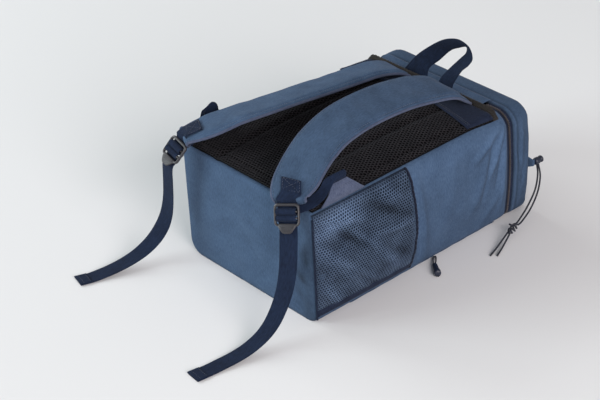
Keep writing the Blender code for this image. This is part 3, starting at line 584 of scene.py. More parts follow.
def panel_height(x, y):
    """Top of the back panel above the floor."""
    across = x / panel_half
    along = (y - bag_bottom) / panel_run
    dome = panel_dome * max(0.0, 1 - across ** 4) * max(0.0, math.sin(math.pi * along)) ** 0.7
    groove = panel_channel * max(0.0, 1 - abs(abs(across) - 0.5) / 0.07)
    fade = max(0.0, min(1.0, along / 0.05, (1 - along) / 0.05))
    inset = min(panel_half - abs(x), y - panel_low)
    quilted = 0.0016 * math.exp(-((inset - panel_border) / 0.0022) ** 2)
    return bag_depth + 0.0003 + panel_edge + dome - groove * fade - quilted - back_drop(x, y)


def net(name, surface, wide, tall, pitch, hole):
    """Open mesh cloth over surface(u, v): six-sided cells, each with a hole of its own."""
    spots, faces = [], []
    known = {}

    def corner(u, v):
        u, v = min(max(u, 0.0), wide), min(max(v, 0.0), tall)
        key = (round(u * 2e5), round(v * 2e5))
        if key not in known:
            known[key] = len(spots)
            spots.append((u, v))
        return known[key]

    reach = pitch / math.sqrt(3)
    ways = [(math.cos(math.radians(30 + 60 * k)), math.sin(math.radians(30 + 60 * k))) for k in range(6)]
    rise = pitch * math.sqrt(3) / 2
    for r in range(int(tall / rise) + 1):
        for c in range(int(wide / pitch) + 1):
            u, v = (c + 0.5 * (r % 2) + 0.25) * pitch, (r + 0.5) * rise
            if u > wide - 0.2 * pitch or v > tall - 0.2 * pitch:
                continue
            outer = [corner(u + reach * a, v + reach * b) for a, b in ways]
            first = len(spots)
            spots += [(min(max(u + reach * hole * a, 0.0002), wide - 0.0002),
                       min(max(v + reach * hole * b, 0.0002), tall - 0.0002)) for a, b in ways]
            for k in range(6):
                j = (k + 1) % 6
                quad = (outer[k], outer[j], first + j, first + k)
                if outer[k] != outer[j]:
                    faces.append(quad)
    mesh = bpy.data.meshes.new(name)
    mesh.from_pydata([tuple(surface(u, v)) for u, v in spots], [], faces)
    layer = mesh.uv_layers.new(name="cloth")
    layer.data.foreach_set("uv", [value for loop in mesh.loops for value in spots[loop.vertex_index]])
    mesh.polygons.foreach_set("use_smooth", [True] * len(mesh.polygons))
    return mesh


def mesh_finish(name, colour, hole_colour, pitch, relief, sheen):
    """Knitted air mesh: a close pattern of dark dimples between slightly shiny threads."""
    made = bpy.data.materials.new(name)
    made.use_nodes = True
    nodes, links = made.node_tree.nodes, made.node_tree.links
    shader = nodes["Principled BSDF"]
    shader.inputs["Sheen Weight"].default_value = sheen
    shader.inputs["Specular IOR Level"].default_value = 0.10
    cloth = nodes.new("ShaderNodeUVMap")
    cloth.uv_map = "cloth"
    turned = nodes.new("ShaderNodeMapping")
    turned.inputs["Rotation"].default_value = (0.0, 0.0, math.radians(45))
    links.new(cloth.outputs["UV"], turned.inputs["Vector"])
    cells = nodes.new("ShaderNodeTexVoronoi")
    cells.inputs["Scale"].default_value = 1.4142 / pitch
    cells.inputs["Randomness"].default_value = 0.0
    links.new(turned.outputs["Vector"], cells.inputs["Vector"])
    ramp = nodes.new("ShaderNodeValToRGB")
    ramp.color_ramp.elements[0].position = 0.24
    ramp.color_ramp.elements[0].color = (*hole_colour, 1.0)
    ramp.color_ramp.elements[1].position = 0.46
    ramp.color_ramp.elements[1].color = (*colour, 1.0)
    links.new(cells.outputs["Distance"], ramp.inputs["Fac"])
    links.new(ramp.outputs["Color"], shader.inputs["Base Color"])
    rough = nodes.new("ShaderNodeMapRange")
    rough.inputs["From Max"].default_value = 0.6
    rough.inputs["To Min"].default_value = 0.98
    rough.inputs["To Max"].default_value = 0.66
    links.new(cells.outputs["Distance"], rough.inputs["Value"])
    links.new(rough.outputs["Result"], shader.inputs["Roughness"])
    bump = nodes.new("ShaderNodeBump")
    bump.inputs["Strength"].default_value = relief
    bump.inputs["Distance"].default_value = pitch * 0.35
    links.new(cells.outputs["Distance"], bump.inputs["Height"])
    links.new(bump.outputs["Normal"], shader.inputs["Normal"])
    return made


foam_rows = []
foam_steps = 56
for k in range(foam_steps + 1):
    y = panel_low + (panel_top - panel_low) * k / foam_steps
    foam_rows.append([Vector((panel_half * (c / 28 - 1), y, panel_height(panel_half * (c / 28 - 1), y) - 0.0014))
                      for c in range(57)])
foam_finish = mesh_finish("black_foam", foam_black, (0.001, 0.001, 0.0014), 0.003, 0.4, 0.0)
foam = set_on_bag(bpy.data.objects.new("back_foam", skin("back_foam", foam_rows)), foam_finish,
                  "back_mesh", "back_panel_mesh")
thicken(foam, 0.0016)

net_finish = woven_finish("black_mesh_thread", mesh_thread, (0.050, 0.045, 0.046), (0.006, 0.006, 0.007),
                          0.0006, 0.3, 0.03)
back_net = net("back_mesh", lambda u, v: Vector((u - panel_half, panel_low + v,
                                                 panel_height(u - panel_half, panel_low + v))),
               2 * panel_half, panel_top - panel_low, mesh_pitch, 0.74)
back_net = set_on_bag(bpy.data.objects.new("back_mesh_cloth", back_net), net_finish, "back_mesh")
thicken(back_net, 0.0009)


# Yoke. A navy woven band, folded and stitched over the top of the back panel, holds
# the ends of the shoulder straps. Its lower edge rises to the middle.
yoke_depth = 0.052
yoke_rise = 0.024
navy = (0.010, 0.0155, 0.034)
navy_fleck = (0.019, 0.028, 0.056)
navy_shadow = (0.004, 0.0065, 0.016)
navy_finish = woven_finish("navy_weave", navy, navy_fleck, navy_shadow, 0.0010, 0.4, 0.04)
stitch_length = 0.0026
stitch_pitch = 0.0036
stitch_radius = 0.00034


def stitch_mesh(name, seams):
    """Rows of short rounded stitches. Each seam is its points and the way out of the cloth."""
    points, faces = [], []
    for seam, outs in seams:
        steps = [0.0]
        for a, b in zip(seam, seam[1:]):
            steps.append(steps[-1] + (b - a).length)
        number = int(steps[-1] / stitch_pitch)
        i = 0
        for k in range(number):
            middle = (k + 0.5) * steps[-1] / number
            while i < len(seam) - 2 and steps[i + 1] < middle:
                i += 1
            share = (middle - steps[i]) / (steps[i + 1] - steps[i])
            spot = seam[i].lerp(seam[i + 1], share)
            out = outs[i].lerp(outs[i + 1], share).normalized()
            way = (seam[i + 1] - seam[i]).normalized()
            across = way.cross(out).normalized()
            base = len(points)
            for step, size in ((-0.5, 0.0), (-0.38, 0.9), (0.0, 1.0), (0.38, 0.9), (0.5, 0.0)):
                if size == 0.0:
                    points.append(spot + way * stitch_length * step - out * stitch_radius * 0.5)
                    continue
                for turn in range(6):
                    angle = math.tau * turn / 6
                    points.append(spot + way * stitch_length * step
                                  + (across * math.cos(angle) + out * math.sin(angle) * 0.8)
                                  * stitch_radius * size)
            for turn in range(6):
                after = (turn + 1) % 6
                faces.append((base, base + 1 + turn, base + 1 + after))
                for row in (0, 1):
                    low = base + 1 + row * 6
                    faces.append((low + turn, low + 6 + turn, low + 6 + after, low + after))
                faces.append((base + 13 + turn, base + 19, base + 13 + after))
    mesh = bpy.data.meshes.new(name)
    mesh.from_pydata([tuple(point) for point in points], [], faces)
    mesh.polygons.foreach_set("use_smooth", [True] * len(faces))
    return mesh


thread_navy = braid_finish("navy_thread", (0.016, 0.026, 0.056), 0.0008)
thread_blue = braid_finish("blue_thread", (0.056, 0.084, 0.140), 0.0008)


def yoke_place(column, row, lift):
    x = column * panel_half
    low = panel_top - yoke_depth + yoke_rise * (1 - abs(column)) ** 1.2
    y = low + (panel_top - low) * row
    dome = panel_dome * max(0.0, 1 - column ** 4) * max(0.0, math.sin(math.pi * (y - bag_bottom) / panel_run)) ** 0.7
    return Vector((x, y, bag_depth + 0.0003 + panel_edge + dome + 0.0009 + lift - back_drop(x, y)))


yoke_rows = [[yoke_place(c / 30 - 1, r / 14, 0.0014 + 0.0006 * math.exp(-((r / 14 - 0.08) / 0.06) ** 2))
              for c in range(61)] for r in range(15)]
yoke = set_on_bag(bpy.data.objects.new("yoke_cloth", skin("yoke_cloth", yoke_rows)), navy_finish,
                  "navy_webbing", "yoke_band")
thicken(yoke, 0.0013)
yoke_seams = []
for row in (0.10, 0.16):
    seam = [yoke_place(c / 40 - 1, row, 0.0018) for c in range(1, 80)]
    yoke_seams.append((seam, [Vector((0, 0, 1))] * len(seam)))
set_on_bag(bpy.data.objects.new("yoke_stitches", stitch_mesh("yoke_stitches", yoke_seams)),
           thread_navy, "navy_webbing")


# Lid. A shallow padded tray of the body cloth with softly rounded top edges; its
# mouth is sewn to the zip, and a fold lies along the seam.
lid_rim = 0.169
lid_round = 0.012
lid_folds = (
    (0.188, 0.150, 0.182, 0.060, 0.0030, 0.0022), (0.176, 0.120, 0.190, 0.040, 0.0030, -0.0018),
    (0.198, 0.100, 0.186, 0.020, 0.0040, 0.0016), (0.180, 0.145, 0.196, 0.120, 0.0030, 0.0016),
)


def lid_ring(y, inset):
    ring = []
    for x, z in outline(bag_half - inset, 0.0, bag_depth - inset, slack_corner):
        fade = max(0.0, math.sin(math.pi * min(max(z / bag_depth, 0.0), 1.0))) ** 0.6
        on_side = max(0.0, min(1.0, (abs(x) - (bag_half - inset) * 0.9) / (bag_half * 0.06)))
        end_fade = min(1.0, (y - lid_rim) / 0.006 + 0.1)
        out = (fold_height(lid_folds, y, z) + ripple(Vector((x, y, z)), 0.03, 0.0012)) * fade * end_fade
        out += side_out(body_rim, z) * (1 + 0.25 * math.sin(math.pi * (y - lid_rim) / (bag_top - lid_rim)))
        roll = 0.0014 * math.exp(-((y - lid_rim - 0.0035) / 0.0022) ** 2)
        dent = 0.0
        if z > bag_depth * 0.9:
            dent = 0.0016 * math.exp(-((y - lid_rim - 0.0085) / 0.0020) ** 2) - roll * 0.6
        ring.append(Vector((x + math.copysign(1, x) * (out + roll * 0.7 * fade) * on_side, y,
                            max(z - dent - (0.0004 if z > 0.1 else 0.0), 0.0))))
    return ring


lid_rings = []
for k in range(13):
    y = lid_rim + (bag_top - lid_round - lid_rim) * k / 12
    lid_rings.append(lid_ring(y, 0.0009 * max(0.0, 1 - k / 3)))
for k in range(1, 7):
    turn = math.radians(15 * k)
    lid_rings.append(lid_ring(bag_top - lid_round * (1 - math.sin(turn)),
                              lid_round * 0.6 * (1 - math.cos(turn))))
last = lid_rings[-1]
for k in range(1, 14):
    share = max(0.002, 1 - k / 13)
    ring = []
    for spot in last:
        x, z = spot.x * share, bag_depth / 2 + (spot.z - bag_depth / 2) * share
        out = (0.0014 + ripple(Vector((x, 1.0, z)), 0.05, 0.0012)) * min(1.0, (1 - share ** 2) * 3)
        ring.append(Vector((x, bag_top + out, z)))
    lid_rings.append(ring)
lid_mesh = skin("lid_cloth", list(reversed(lid_rings)), ring=True)
lid_mesh.flip_normals()
close_caps(lid_mesh)
lay_flat_uv(lid_mesh)


def lid_painted_shade(point):
    """Painted shade: darker overall, darker along the seam by the zip and in the pressed line beside it, with a painted
    highlight on the ridge between them.
    """
    past = point.y - lid_rim
    seam = -0.30 * math.exp(-((past - 0.0085) / 0.0018) ** 2) - 0.25 * math.exp(-(past / 0.002) ** 2)
    ridge_highlight = 0.16 * math.exp(-((past - 0.0045) / 0.0020) ** 2)
    creases = crease_painted_shade(lid_folds, point.y, point.z) if point.x > 0.9 * bag_half else 0.0
    return 0.78 + seam + ridge_highlight + creases + 0.06 * noise.noise(point / 0.02)


shade_by(lid_mesh, painted_shade_finish, lid_painted_shade)
lid_cloth = set_on_bag(bpy.data.objects.new("lid_cloth", lid_mesh), painted_shade_finish,
                       "body_fabric", "lid_shell")
thicken(lid_cloth, wall_thick)


# Hinge strip and binding. A strip of body cloth joins the lid to the back, stitched
# along both edges; the panel's raw top edge is rolled in black ribbed mesh.
hinge_left = -0.85 * bag_half
hinge_right = 0.68 * bag_half
binding_top = body_rim - 0.008
binding_width = 0.010
binding_height = 0.0105
hinge_low = binding_top + 0.003
hinge_high = lid_rim + 0.004
hinge_rows = []
for r in range(13):
    share = r / 12
    y = hinge_low + (hinge_high - hinge_low) * share
    z = bag_depth + 0.0003 + 0.0014 + 0.0012 * max(0.0, math.sin(math.pi * share)) ** 0.5
    z += 0.0005 * math.exp(-((share - 0.80) / 0.08) ** 2)
    hinge_rows.append([Vector((x, y, z + ripple(Vector((x, y, 0.0)), 0.03, 0.0006)))
                       for x in (hinge_left + (hinge_right - hinge_left) * c / 60 for c in range(61))])
hinge = set_on_bag(bpy.data.objects.new("hinge_cloth", skin("hinge_cloth", hinge_rows)), body_finish,
                   "body_fabric", "hinge_strip")
thicken(hinge, 0.0013)
hinge_seams = []
for share in (0.28, 0.90):
    row = hinge_rows[round(share * 12)]
    hinge_seams.append(([spot + Vector((0, 0, 0.0001)) for spot in row], [Vector((0, 0, 1))] * len(row)))
set_on_bag(bpy.data.objects.new("hinge_stitches", stitch_mesh("hinge_stitches", hinge_seams)),
           thread_blue, "body_fabric")

binding_finish = mesh_finish("ribbed_binding", (0.030, 0.027, 0.025), (0.004, 0.004, 0.004), 0.0028, 0.7, 0.04)
binding_rows = []
for c in range(90):
    share = 2 * c / 89 - 1
    high = binding_height * (1 - 0.45 * max(0.0, (abs(share) - 0.95) / 0.05))
    rib = 1 + 0.045 * math.sin(c * math.pi * 0.9)
    binding_rows.append([
        Vector((share * (panel_half - 0.0003),
                binding_top - binding_width / 2 + binding_width / 2 * math.cos(math.radians(a)) * rib,
                bag_depth + 0.0003 + high * rib * max(0.0, math.sin(math.radians(a))) ** 0.8
                - back_drop(share * panel_half, binding_top)))
        for a in range(0, 181, 15)])
binding = set_on_bag(bpy.data.objects.new("binding_roll", skin("binding_roll", binding_rows, ring=True, caps=True)),
                     binding_finish, "back_mesh", "top_binding")


# Zip. Two navy woven tapes run round the sides and the front between body and lid,
# with a brown-grey nylon coil between them.
zip_inset = 0.0022
zip_middle = (body_rim + lid_rim) / 2
zip_half = 0.0019
coil_grey = (0.032, 0.026, 0.030)
coil_pitch = 0.0016


def zip_walk(inset):
    """Points round the zip, from the hinge strip's right end to its left end."""
    around = []
    for x, z in outline(bag_half - inset, inset, bag_depth - inset, slack_corner):
        if z > bag_depth - inset - 1e-5 and hinge_left < x < hinge_right:
            continue
        on_side = max(0.0, min(1.0, (abs(x) - bag_half * 0.9) / (bag_half * 0.06)))
        around.append(Vector((x + math.copysign(1, x) * side_out(body_rim, z) * on_side, 0.0, z)))
    around.append(Vector((hinge_right + 0.001, 0.0, bag_depth - inset)))
    around.append(Vector((hinge_left - 0.001, 0.0, bag_depth - inset)))
    around.sort(key=lambda p: (math.pi / 2 - math.atan2(p.z - bag_depth / 2, p.x)) % math.tau)
    cut = max(range(len(around)), key=lambda i: (around[i] - around[i - 1]).length)
    return around[cut:] + around[:cut]


def zip_band(name, low, high, inset, bow):
    walk = zip_walk(inset)
    rows = []
    for i, spot in enumerate(walk):
        before, after = walk[max(i - 1, 0)], walk[min(i + 1, len(walk) - 1)]
        way = (after - before).normalized()
        inward = Vector((way.z, 0, -way.x))
        if inward.dot(Vector((-spot.x, 0, bag_depth / 2 - spot.z))) < 0:
            inward.negate()
        rows.append([spot + Vector((0, low + (high - low) * k / 4, 0))
                     - inward * bow * math.sin(math.pi * k / 4) for k in range(5)])
    return skin(name, rows)


for name, low, high, node in (("body", body_rim - 0.001, zip_middle - zip_half - 0.0002, "zip_tape_body"),
                              ("lid", zip_middle + zip_half + 0.0002, lid_rim + 0.001, "zip_tape_lid")):
    tape = set_on_bag(bpy.data.objects.new("zip_cloth_" + name, zip_band("zip_cloth_" + name, low, high, zip_inset, 0.0006)),
                      navy_finish, "navy_webbing", node)
    thicken(tape, 0.0010, 0.0)

coil_finish = braid_finish("nylon_coil", coil_grey, 0.0016)
coil_path = zip_walk(zip_inset * 0.6)
coil_steps = [0.0]
for a, b in zip(coil_path, coil_path[1:]):
    coil_steps.append(coil_steps[-1] + (b - a).length)
coil_points, coil_faces = [], []
i = 0
for k in range(int(coil_steps[-1] / coil_pitch)):
    middle = (k + 0.5) * coil_pitch
    while i < len(coil_path) - 2 and coil_steps[i + 1] < middle:
        i += 1
    spot = coil_path[i].lerp(coil_path[i + 1], (middle - coil_steps[i]) / (coil_steps[i + 1] - coil_steps[i]))
    way = (coil_path[i + 1] - coil_path[i]).normalized()
    out = Vector((way.z, 0, -way.x))
    if out.dot(Vector((spot.x, 0, spot.z - bag_depth / 2))) < 0:
        out.negate()
    base = len(coil_points)
    lean = 0.0003 * (1 if k % 2 else -1)
    for share, size in ((-1.0, 0.30), (-0.7, 0.62), (0.0, 0.80), (0.7, 0.62), (1.0, 0.30)):
        for turn in range(6):
            angle = math.tau * turn / 6
            coil_points.append(spot + Vector((0, zip_middle + zip_half * share + lean, 0))
                               + (way * math.cos(angle) * 0.9 + out * math.sin(angle)) * coil_pitch / 2 * size * 1.15)
    for row in range(4):
        for turn in range(6):
            after = (turn + 1) % 6
            low = base + row * 6
            coil_faces.append((low + turn, low + after, low + 6 + after, low + 6 + turn))
    coil_faces.append(tuple(range(base + 5, base - 1, -1)))
    coil_faces.append(tuple(range(base + 24, base + 30)))
coil_mesh = bpy.data.meshes.new("zip_coil")
coil_mesh.from_pydata([tuple(point) for point in coil_points], [], coil_faces)
coil_mesh.polygons.foreach_set("use_smooth", [True] * len(coil_faces))
set_on_bag(bpy.data.objects.new("zip_coil", coil_mesh), coil_finish, "zip_coil", "zip_teeth")


# Side pocket. One slack layer of navy air mesh on the right side, with a plain hem
# band along the front edge and a narrow elastic at its mouth.
pocket_mouth = -0.039
pocket_slack = 0.0085
pocket_hem = 0.010
pocket_start = bag_bottom + 0.0015
pocket_length = pocket_mouth - pocket_start
pocket_low = front_radius
pocket_high = bag_depth - 0.0012
pocket_pitch = 0.0042
pocket_blue = (0.054, 0.082, 0.132)
# Pleats of the slack mesh, in shares along and up: from, to, half width, height in metres
pocket_pleats = (
    (0.04, 0.66, 0.52, 0.14, 0.050, 0.0052), (0.14, 0.84, 0.70, 0.34, 0.036, -0.0040),
    (0.36, 0.70, 0.84, 0.16, 0.045, 0.0050), (0.02, 0.94, 0.46, 0.80, 0.040, 0.0040),
    (0.52, 0.90, 0.98, 0.60, 0.045, -0.0036), (0.58, 0.60, 0.98, 0.56, 0.030, 0.0036),
    (0.20, 0.46, 0.60, 0.06, 0.030, -0.0034), (0.66, 0.98, 0.90, 0.80, 0.050, 0.0030),
    (0.05, 0.30, 0.24, 0.04, 0.045, 0.0036), (0.74, 0.40, 0.98, 0.20, 0.040, -0.0026),
)


def edge_inset(z):
    """How far the side runs in where it rounds over to the back."""
    past = min(max(0.0, z - (bag_depth - back_radius)), back_radius)
    return back_radius - math.sqrt(back_radius ** 2 - past ** 2)


def pocket_place(along, up, lift, y=None):
    """Point on the pocket, with the mesh's slack and pleats."""
    z = pocket_low + (pocket_high - pocket_low) * up
    y = pocket_start + pocket_length * along if y is None else y
    open_end = math.sin(math.pi / 2 * min(1.0, max(0.0, along) * 1.25)) ** 1.3
    held = max(0.0, math.sin(math.pi * min(1.0, max(0.0, up)))) ** 0.8
    gap = 0.0008 + pocket_slack * open_end * held
    pleat = fold_height(pocket_pleats, along, up) * min(1.0, 6 * (1 - along), 6 * along) * min(1.0, 5 * held)
    pleat += ripple(Vector((0.0, y, z)), 0.018, 0.0012) * min(1.0, 3 * held) * min(1.0, 5 * along)
    fold = fold_height(side_folds, y, z)
    out = side_out(y, z) - edge_inset(z) + max(0.0007, gap + pleat) + lift + max(0.0, fold)
    return Vector((bag_half + out, y, z))


def pocket_painted_shade(point):
    """Painted light and shade of the pocket: a painted highlight where the pleats stand proud and painted shade in
    their valleys, a paler patch painted near the top where the lit side tab shows through, and random blotches.
    """
    along = (point.y - pocket_start) / pocket_length
    up = (point.z - pocket_low) / (pocket_high - pocket_low)
    pleat = fold_height(pocket_pleats, along, up) / 0.0045
    lit_tab_patch = 1.5 * math.exp(-(((up - 0.80 - 0.25 * along) / 0.10) ** 2 + ((along - 0.22) / 0.20) ** 2))
    blotches = 0.5 * noise.noise(point / 0.021) + 0.35 * noise.noise(point / 0.007)
    return 0.84 + 0.62 * pleat + lit_tab_patch + 0.45 * blotches


pocket_finish = woven_finish("navy_mesh_thread", pocket_blue, (0.092, 0.128, 0.190), (0.026, 0.042, 0.074),
                             0.0006, 0.3, 0.06)
hem_share = pocket_hem / (pocket_high - pocket_low)
pocket_mesh = net("pocket_mesh",
                  lambda u, v: pocket_place(u / pocket_length,
                                            hem_share + (1 - hem_share) * v / (pocket_high - pocket_low - pocket_hem), 0.0009),
                  pocket_length, pocket_high - pocket_low - pocket_hem, pocket_pitch, 0.66)
shade_by(pocket_mesh, pocket_finish, pocket_painted_shade)
pocket = set_on_bag(bpy.data.objects.new("pocket_mesh_cloth", pocket_mesh), pocket_finish,
                    "pocket_mesh", "side_pocket_mesh")
thicken(pocket, 0.0007)
# A dark sheet between the mesh and the side panel: painted shade, standing in for the shade inside the pocket.
shade_sheet_rows = [[pocket_place(c / 60, r / 50, 0.0) for c in range(61)] for r in range(51)]
for row in shade_sheet_rows:
    for spot in row:
        base = bag_half + side_out(spot.y, spot.z) - edge_inset(spot.z)
        spot.x = base + 0.0004 + 0.35 * (spot.x - base)
shade_sheet_finish = woven_finish("navy_painted_shade_sheet", (0.020, 0.033, 0.058), (0.044, 0.064, 0.102),
                             (0.008, 0.013, 0.026), 0.0012, 0.5, 0.03)
shade_sheet_mesh = skin("pocket_painted_shade_sheet", shade_sheet_rows)
shade_by(shade_sheet_mesh, shade_sheet_finish, pocket_painted_shade)
shade_sheet = set_on_bag(bpy.data.objects.new("pocket_painted_shade_sheet", shade_sheet_mesh), shade_sheet_finish, "pocket_mesh")
thicken(shade_sheet, 0.0004)
seam_rows = []
for r in range(61):
    z = pocket_low * 0.6 + (bag_depth - back_radius - pocket_low * 0.6) * r / 60
    seam_rows.append([Vector((bag_half + 0.0002 + 0.0013 * math.cos(a), pocket_start - 0.0002 + 0.0013 * math.sin(a), z))
                      for a in (math.tau * k / 8 for k in range(8))])
set_on_bag(bpy.data.objects.new("pocket_seam_roll", skin("pocket_seam_roll", seam_rows, ring=True, caps=True)),
           navy_finish, "navy_webbing")
hem_rows = [[pocket_place(c / 40, hem_share * 1.02 * r / 6, 0.0010) for c in range(41)] for r in range(7)]
hem = set_on_bag(bpy.data.objects.new("pocket_hem_cloth", skin("pocket_hem_cloth", hem_rows)), navy_finish,
                 "navy_webbing", "pocket_hem")
thicken(hem, 0.0012)
elastic_rows = []
for r in range(61):
    up = r / 60
    gather = 0.00025 * math.sin(r * 1.9)
    row = []
    for k in range(10):
        angle = math.tau * k / 10
        spot = pocket_place(1.0, up, 0.0008 + gather, pocket_start + pocket_length + 0.0020)
        row.append(spot + Vector((math.cos(angle) * (0.0011 + gather), math.sin(angle) * 0.0021, 0)))
    elastic_rows.append(row)
elastic_finish = woven_finish("dark_elastic", (0.006, 0.009, 0.020), (0.012, 0.018, 0.036), (0.003, 0.0045, 0.010),
                              0.0009, 0.6, 0.1)
set_on_bag(bpy.data.objects.new("pocket_elastic", skin("pocket_elastic", elastic_rows, ring=True, caps=True)),
           elastic_finish, "navy_webbing", "pocket_edge")


# Shoulder straps. Each is a curved foam pad, covered above in body cloth and below
# in black air mesh, with a rolled piping along both edges and a row of topstitch.
strap_width = 0.064
strap_pad = 0.007
strap_mesh = 0.005
strap_rise = 0.070
piping_radius = 0.0020
piping_grey = (0.064, 0.080, 0.130)
# Columns: along, out, rise, width, pad, as shares
strap_rows = {
    "right": ((0.834, 0.425, 0.125, 0.86, 0.35), (0.793, 0.450, 0.330, 0.95, 0.70),
              (0.737, 0.50, 0.585, 1.00, 1.00), (0.676, 0.51, 0.730, 1.00, 1.00),
              (0.605, 0.52, 0.845, 1.00, 1.00), (0.520, 0.53, 0.945, 1.00, 1.00),
              (0.435, 0.54, 1.000, 1.00, 1.00), (0.352, 0.55, 1.020, 1.00, 1.00),
              (0.278, 0.56, 1.000, 1.00, 1.00), (0.205, 0.58, 0.930, 0.98, 1.00),
              (0.145, 0.60, 0.800, 1.00, 1.00), (0.090, 0.63, 0.625, 1.00, 0.95),
              (0.030, 0.69, 0.430, 0.96, 0.80), (-0.018, 0.755, 0.300, 0.76, 0.50)),
    "left": ((0.834, 0.48, 0.125, 1.00, 0.35), (0.790, 0.49, 0.235, 1.00, 0.70),
             (0.720, 0.51, 0.315, 1.00, 0.85), (0.612, 0.52, 0.370, 1.00, 1.00),
             (0.480, 0.53, 0.445, 1.00, 1.00), (0.340, 0.55, 0.520, 1.00, 1.00),
             (0.205, 0.58, 0.570, 1.00, 1.00), (0.120, 0.62, 0.580, 1.00, 1.00),
             (0.045, 0.70, 0.510, 0.90, 0.85), (-0.018, 0.820, 0.385, 0.62, 0.50)),
}
# The cover's last few millimetres, bent down behind the buckle
strap_lip = {"right": (-0.0150, 0.777, 0.105, 0.60, 0.30), "left": (-0.0165, 0.832, 0.300, 0.50, 0.35)}
strap_side = {"right": 1, "left": -1}
# Painted light: the right strap's cover is painted darker and the left one paler, as the light falls on them.
cover_painted_light = {"right": 0.85, "left": 1.05}


def strap_frames(label, count, lip=False):
    """Stations along a strap: centre, half-width vector, way out of the cover, pad share."""
    side = strap_side[label]
    rows = strap_rows[label] + ((strap_lip[label],) if lip else ())
    spots = [(side * out * bag_half, bag_bottom + 0.410 * along, bag_depth + strap_rise * rise)
             for along, out, rise, width, pad in rows]
    shares = [(width, pad, 0.0) for along, out, rise, width, pad in rows]
    path, sizes = smooth(spots, count), smooth(shares, count)
    end_turn = Vector((0.83, 0.56 * side, 0.0))
    frames = []
    for i, centre in enumerate(path):
        ahead = path[min(i + 1, count - 1)] - path[max(i - 1, 0)]
        turn = max(0.0, i / (count - 1) - 0.70) / 0.30
        lean = Vector((1.0, 0.0, -0.20 * side * (1 - turn) * min(1.0, i / count / 0.25)))
        across = lean.lerp(end_turn, turn ** 1.2)
        across -= ahead * across.dot(ahead) / ahead.length_squared
        half = across.normalized() * strap_width / 2 * sizes[i][0]
        frames.append((centre, half, ahead.cross(half).normalized(), sizes[i][1]))
    return frames


def crown(u):
    return max(0.0, 1 - abs(u) ** 6) ** 0.45


strap_finish = mesh_finish("strap_air_mesh", (0.044, 0.040, 0.038), (0.002, 0.002, 0.0025), 0.0042, 0.8, 0.03)
piping_finish = woven_finish("piping_cloth", piping_grey, (0.092, 0.110, 0.172), (0.036, 0.047, 0.082),
                             0.0008, 0.4, 0.10)
cover_edge = [-1.0, -0.985, -0.96, -0.92, -0.88, -0.84, -0.78, -0.66, -0.5, -0.33, -0.16, 0.0,
              0.16, 0.33, 0.5, 0.66, 0.78, 0.84, 0.88, 0.92, 0.96, 0.985, 1.0]
for label in ("right", "left"):
    frames = strap_frames(label, 104, True)
    cover_rows, pad_rows = [], []
    for i, (centre, half, out, pad) in enumerate(frames):
        row = []
        for u in cover_edge:
            spot = centre + half * u + out * strap_pad * pad * crown(u)
            puff = ripple(spot, 0.025, 0.0015) * crown(u)
            seam = 0.0013 * math.exp(-((abs(u) - 0.88) / 0.035) ** 2)
            row.append(spot + out * (puff - seam + 0.0003))
        row += [centre + half * u + out * 0.0003 for u in (0.6, 0.0, -0.6)]
        cover_rows.append(row)
        row = [centre + half * u - out * strap_mesh * pad * crown(u) for u in cover_edge]
        row += [centre + half * u - out * 0.0003 for u in (0.6, 0.0, -0.6)]
        pad_rows.append([row[0]] + row[:0:-1])
    cover_mesh = skin("strap_cover_" + label, cover_rows, ring=True, caps=True)
    # The cover's colour carries the painted light of its strap from the table above, with random blotches.
    shade_by(cover_mesh, painted_shade_finish,
             lambda point, level=cover_painted_light[label]: level + 0.14 * noise.noise(point / 0.016)
             + 0.08 * noise.noise(point / 0.005))
    cover = set_on_bag(bpy.data.objects.new("strap_cover_" + label, cover_mesh), painted_shade_finish,
                       "body_fabric", "shoulder_strap_" + label)
    pad = set_on_bag(bpy.data.objects.new("strap_air_mesh_" + label,
                                          skin("strap_air_mesh_" + label, pad_rows, ring=True, caps=True)),
                     strap_finish, "back_mesh", "strap_padding_" + label)
    for edge, way in (("inner", -1), ("outer", 1)):
        rows = []
        for centre, half, out, pad_share in frames[:-1]:
            middle = centre + half * way * 1.0
            across = half.normalized()
            rows.append([middle + (across * math.cos(math.tau * k / 10) + out * math.sin(math.tau * k / 10))
                         * piping_radius for k in range(10)])
        set_on_bag(bpy.data.objects.new(f"strap_piping_{label}_{edge}",
                                        skin(f"strap_piping_{label}_{edge}", rows, ring=True, caps=True)),
                   piping_finish, "body_fabric")
    seams = []
    for way in (-1, 1):
        seam, outs = [], []
        for centre, half, out, pad_share in frames[2:-2]:
            seam.append(centre + half * way * 0.88 + out * (strap_pad * pad_share * crown(0.88) - 0.0008))
            outs.append(out)
        seams.append((seam, outs))
    set_on_bag(bpy.data.objects.new("strap_stitches_" + label, stitch_mesh("strap_stitches_" + label, seams)),
               thread_blue, "body_fabric")


# Buckles. A moulded dark grey ladder lock hangs from each strap's end; the webbing
# from the strap loops over one bar and the adjusting webbing over the next.
webbing_width = 0.025
webbing_thick = 0.0014
buckle_length = 0.040
buckle_thick = 0.004
buckle_bar = 0.0026
bar_strap = buckle_length * 0.27
bar_grip = buckle_length * 0.48
buckle_slot = 0.0052
buckle_grey = (0.024, 0.023, 0.027)


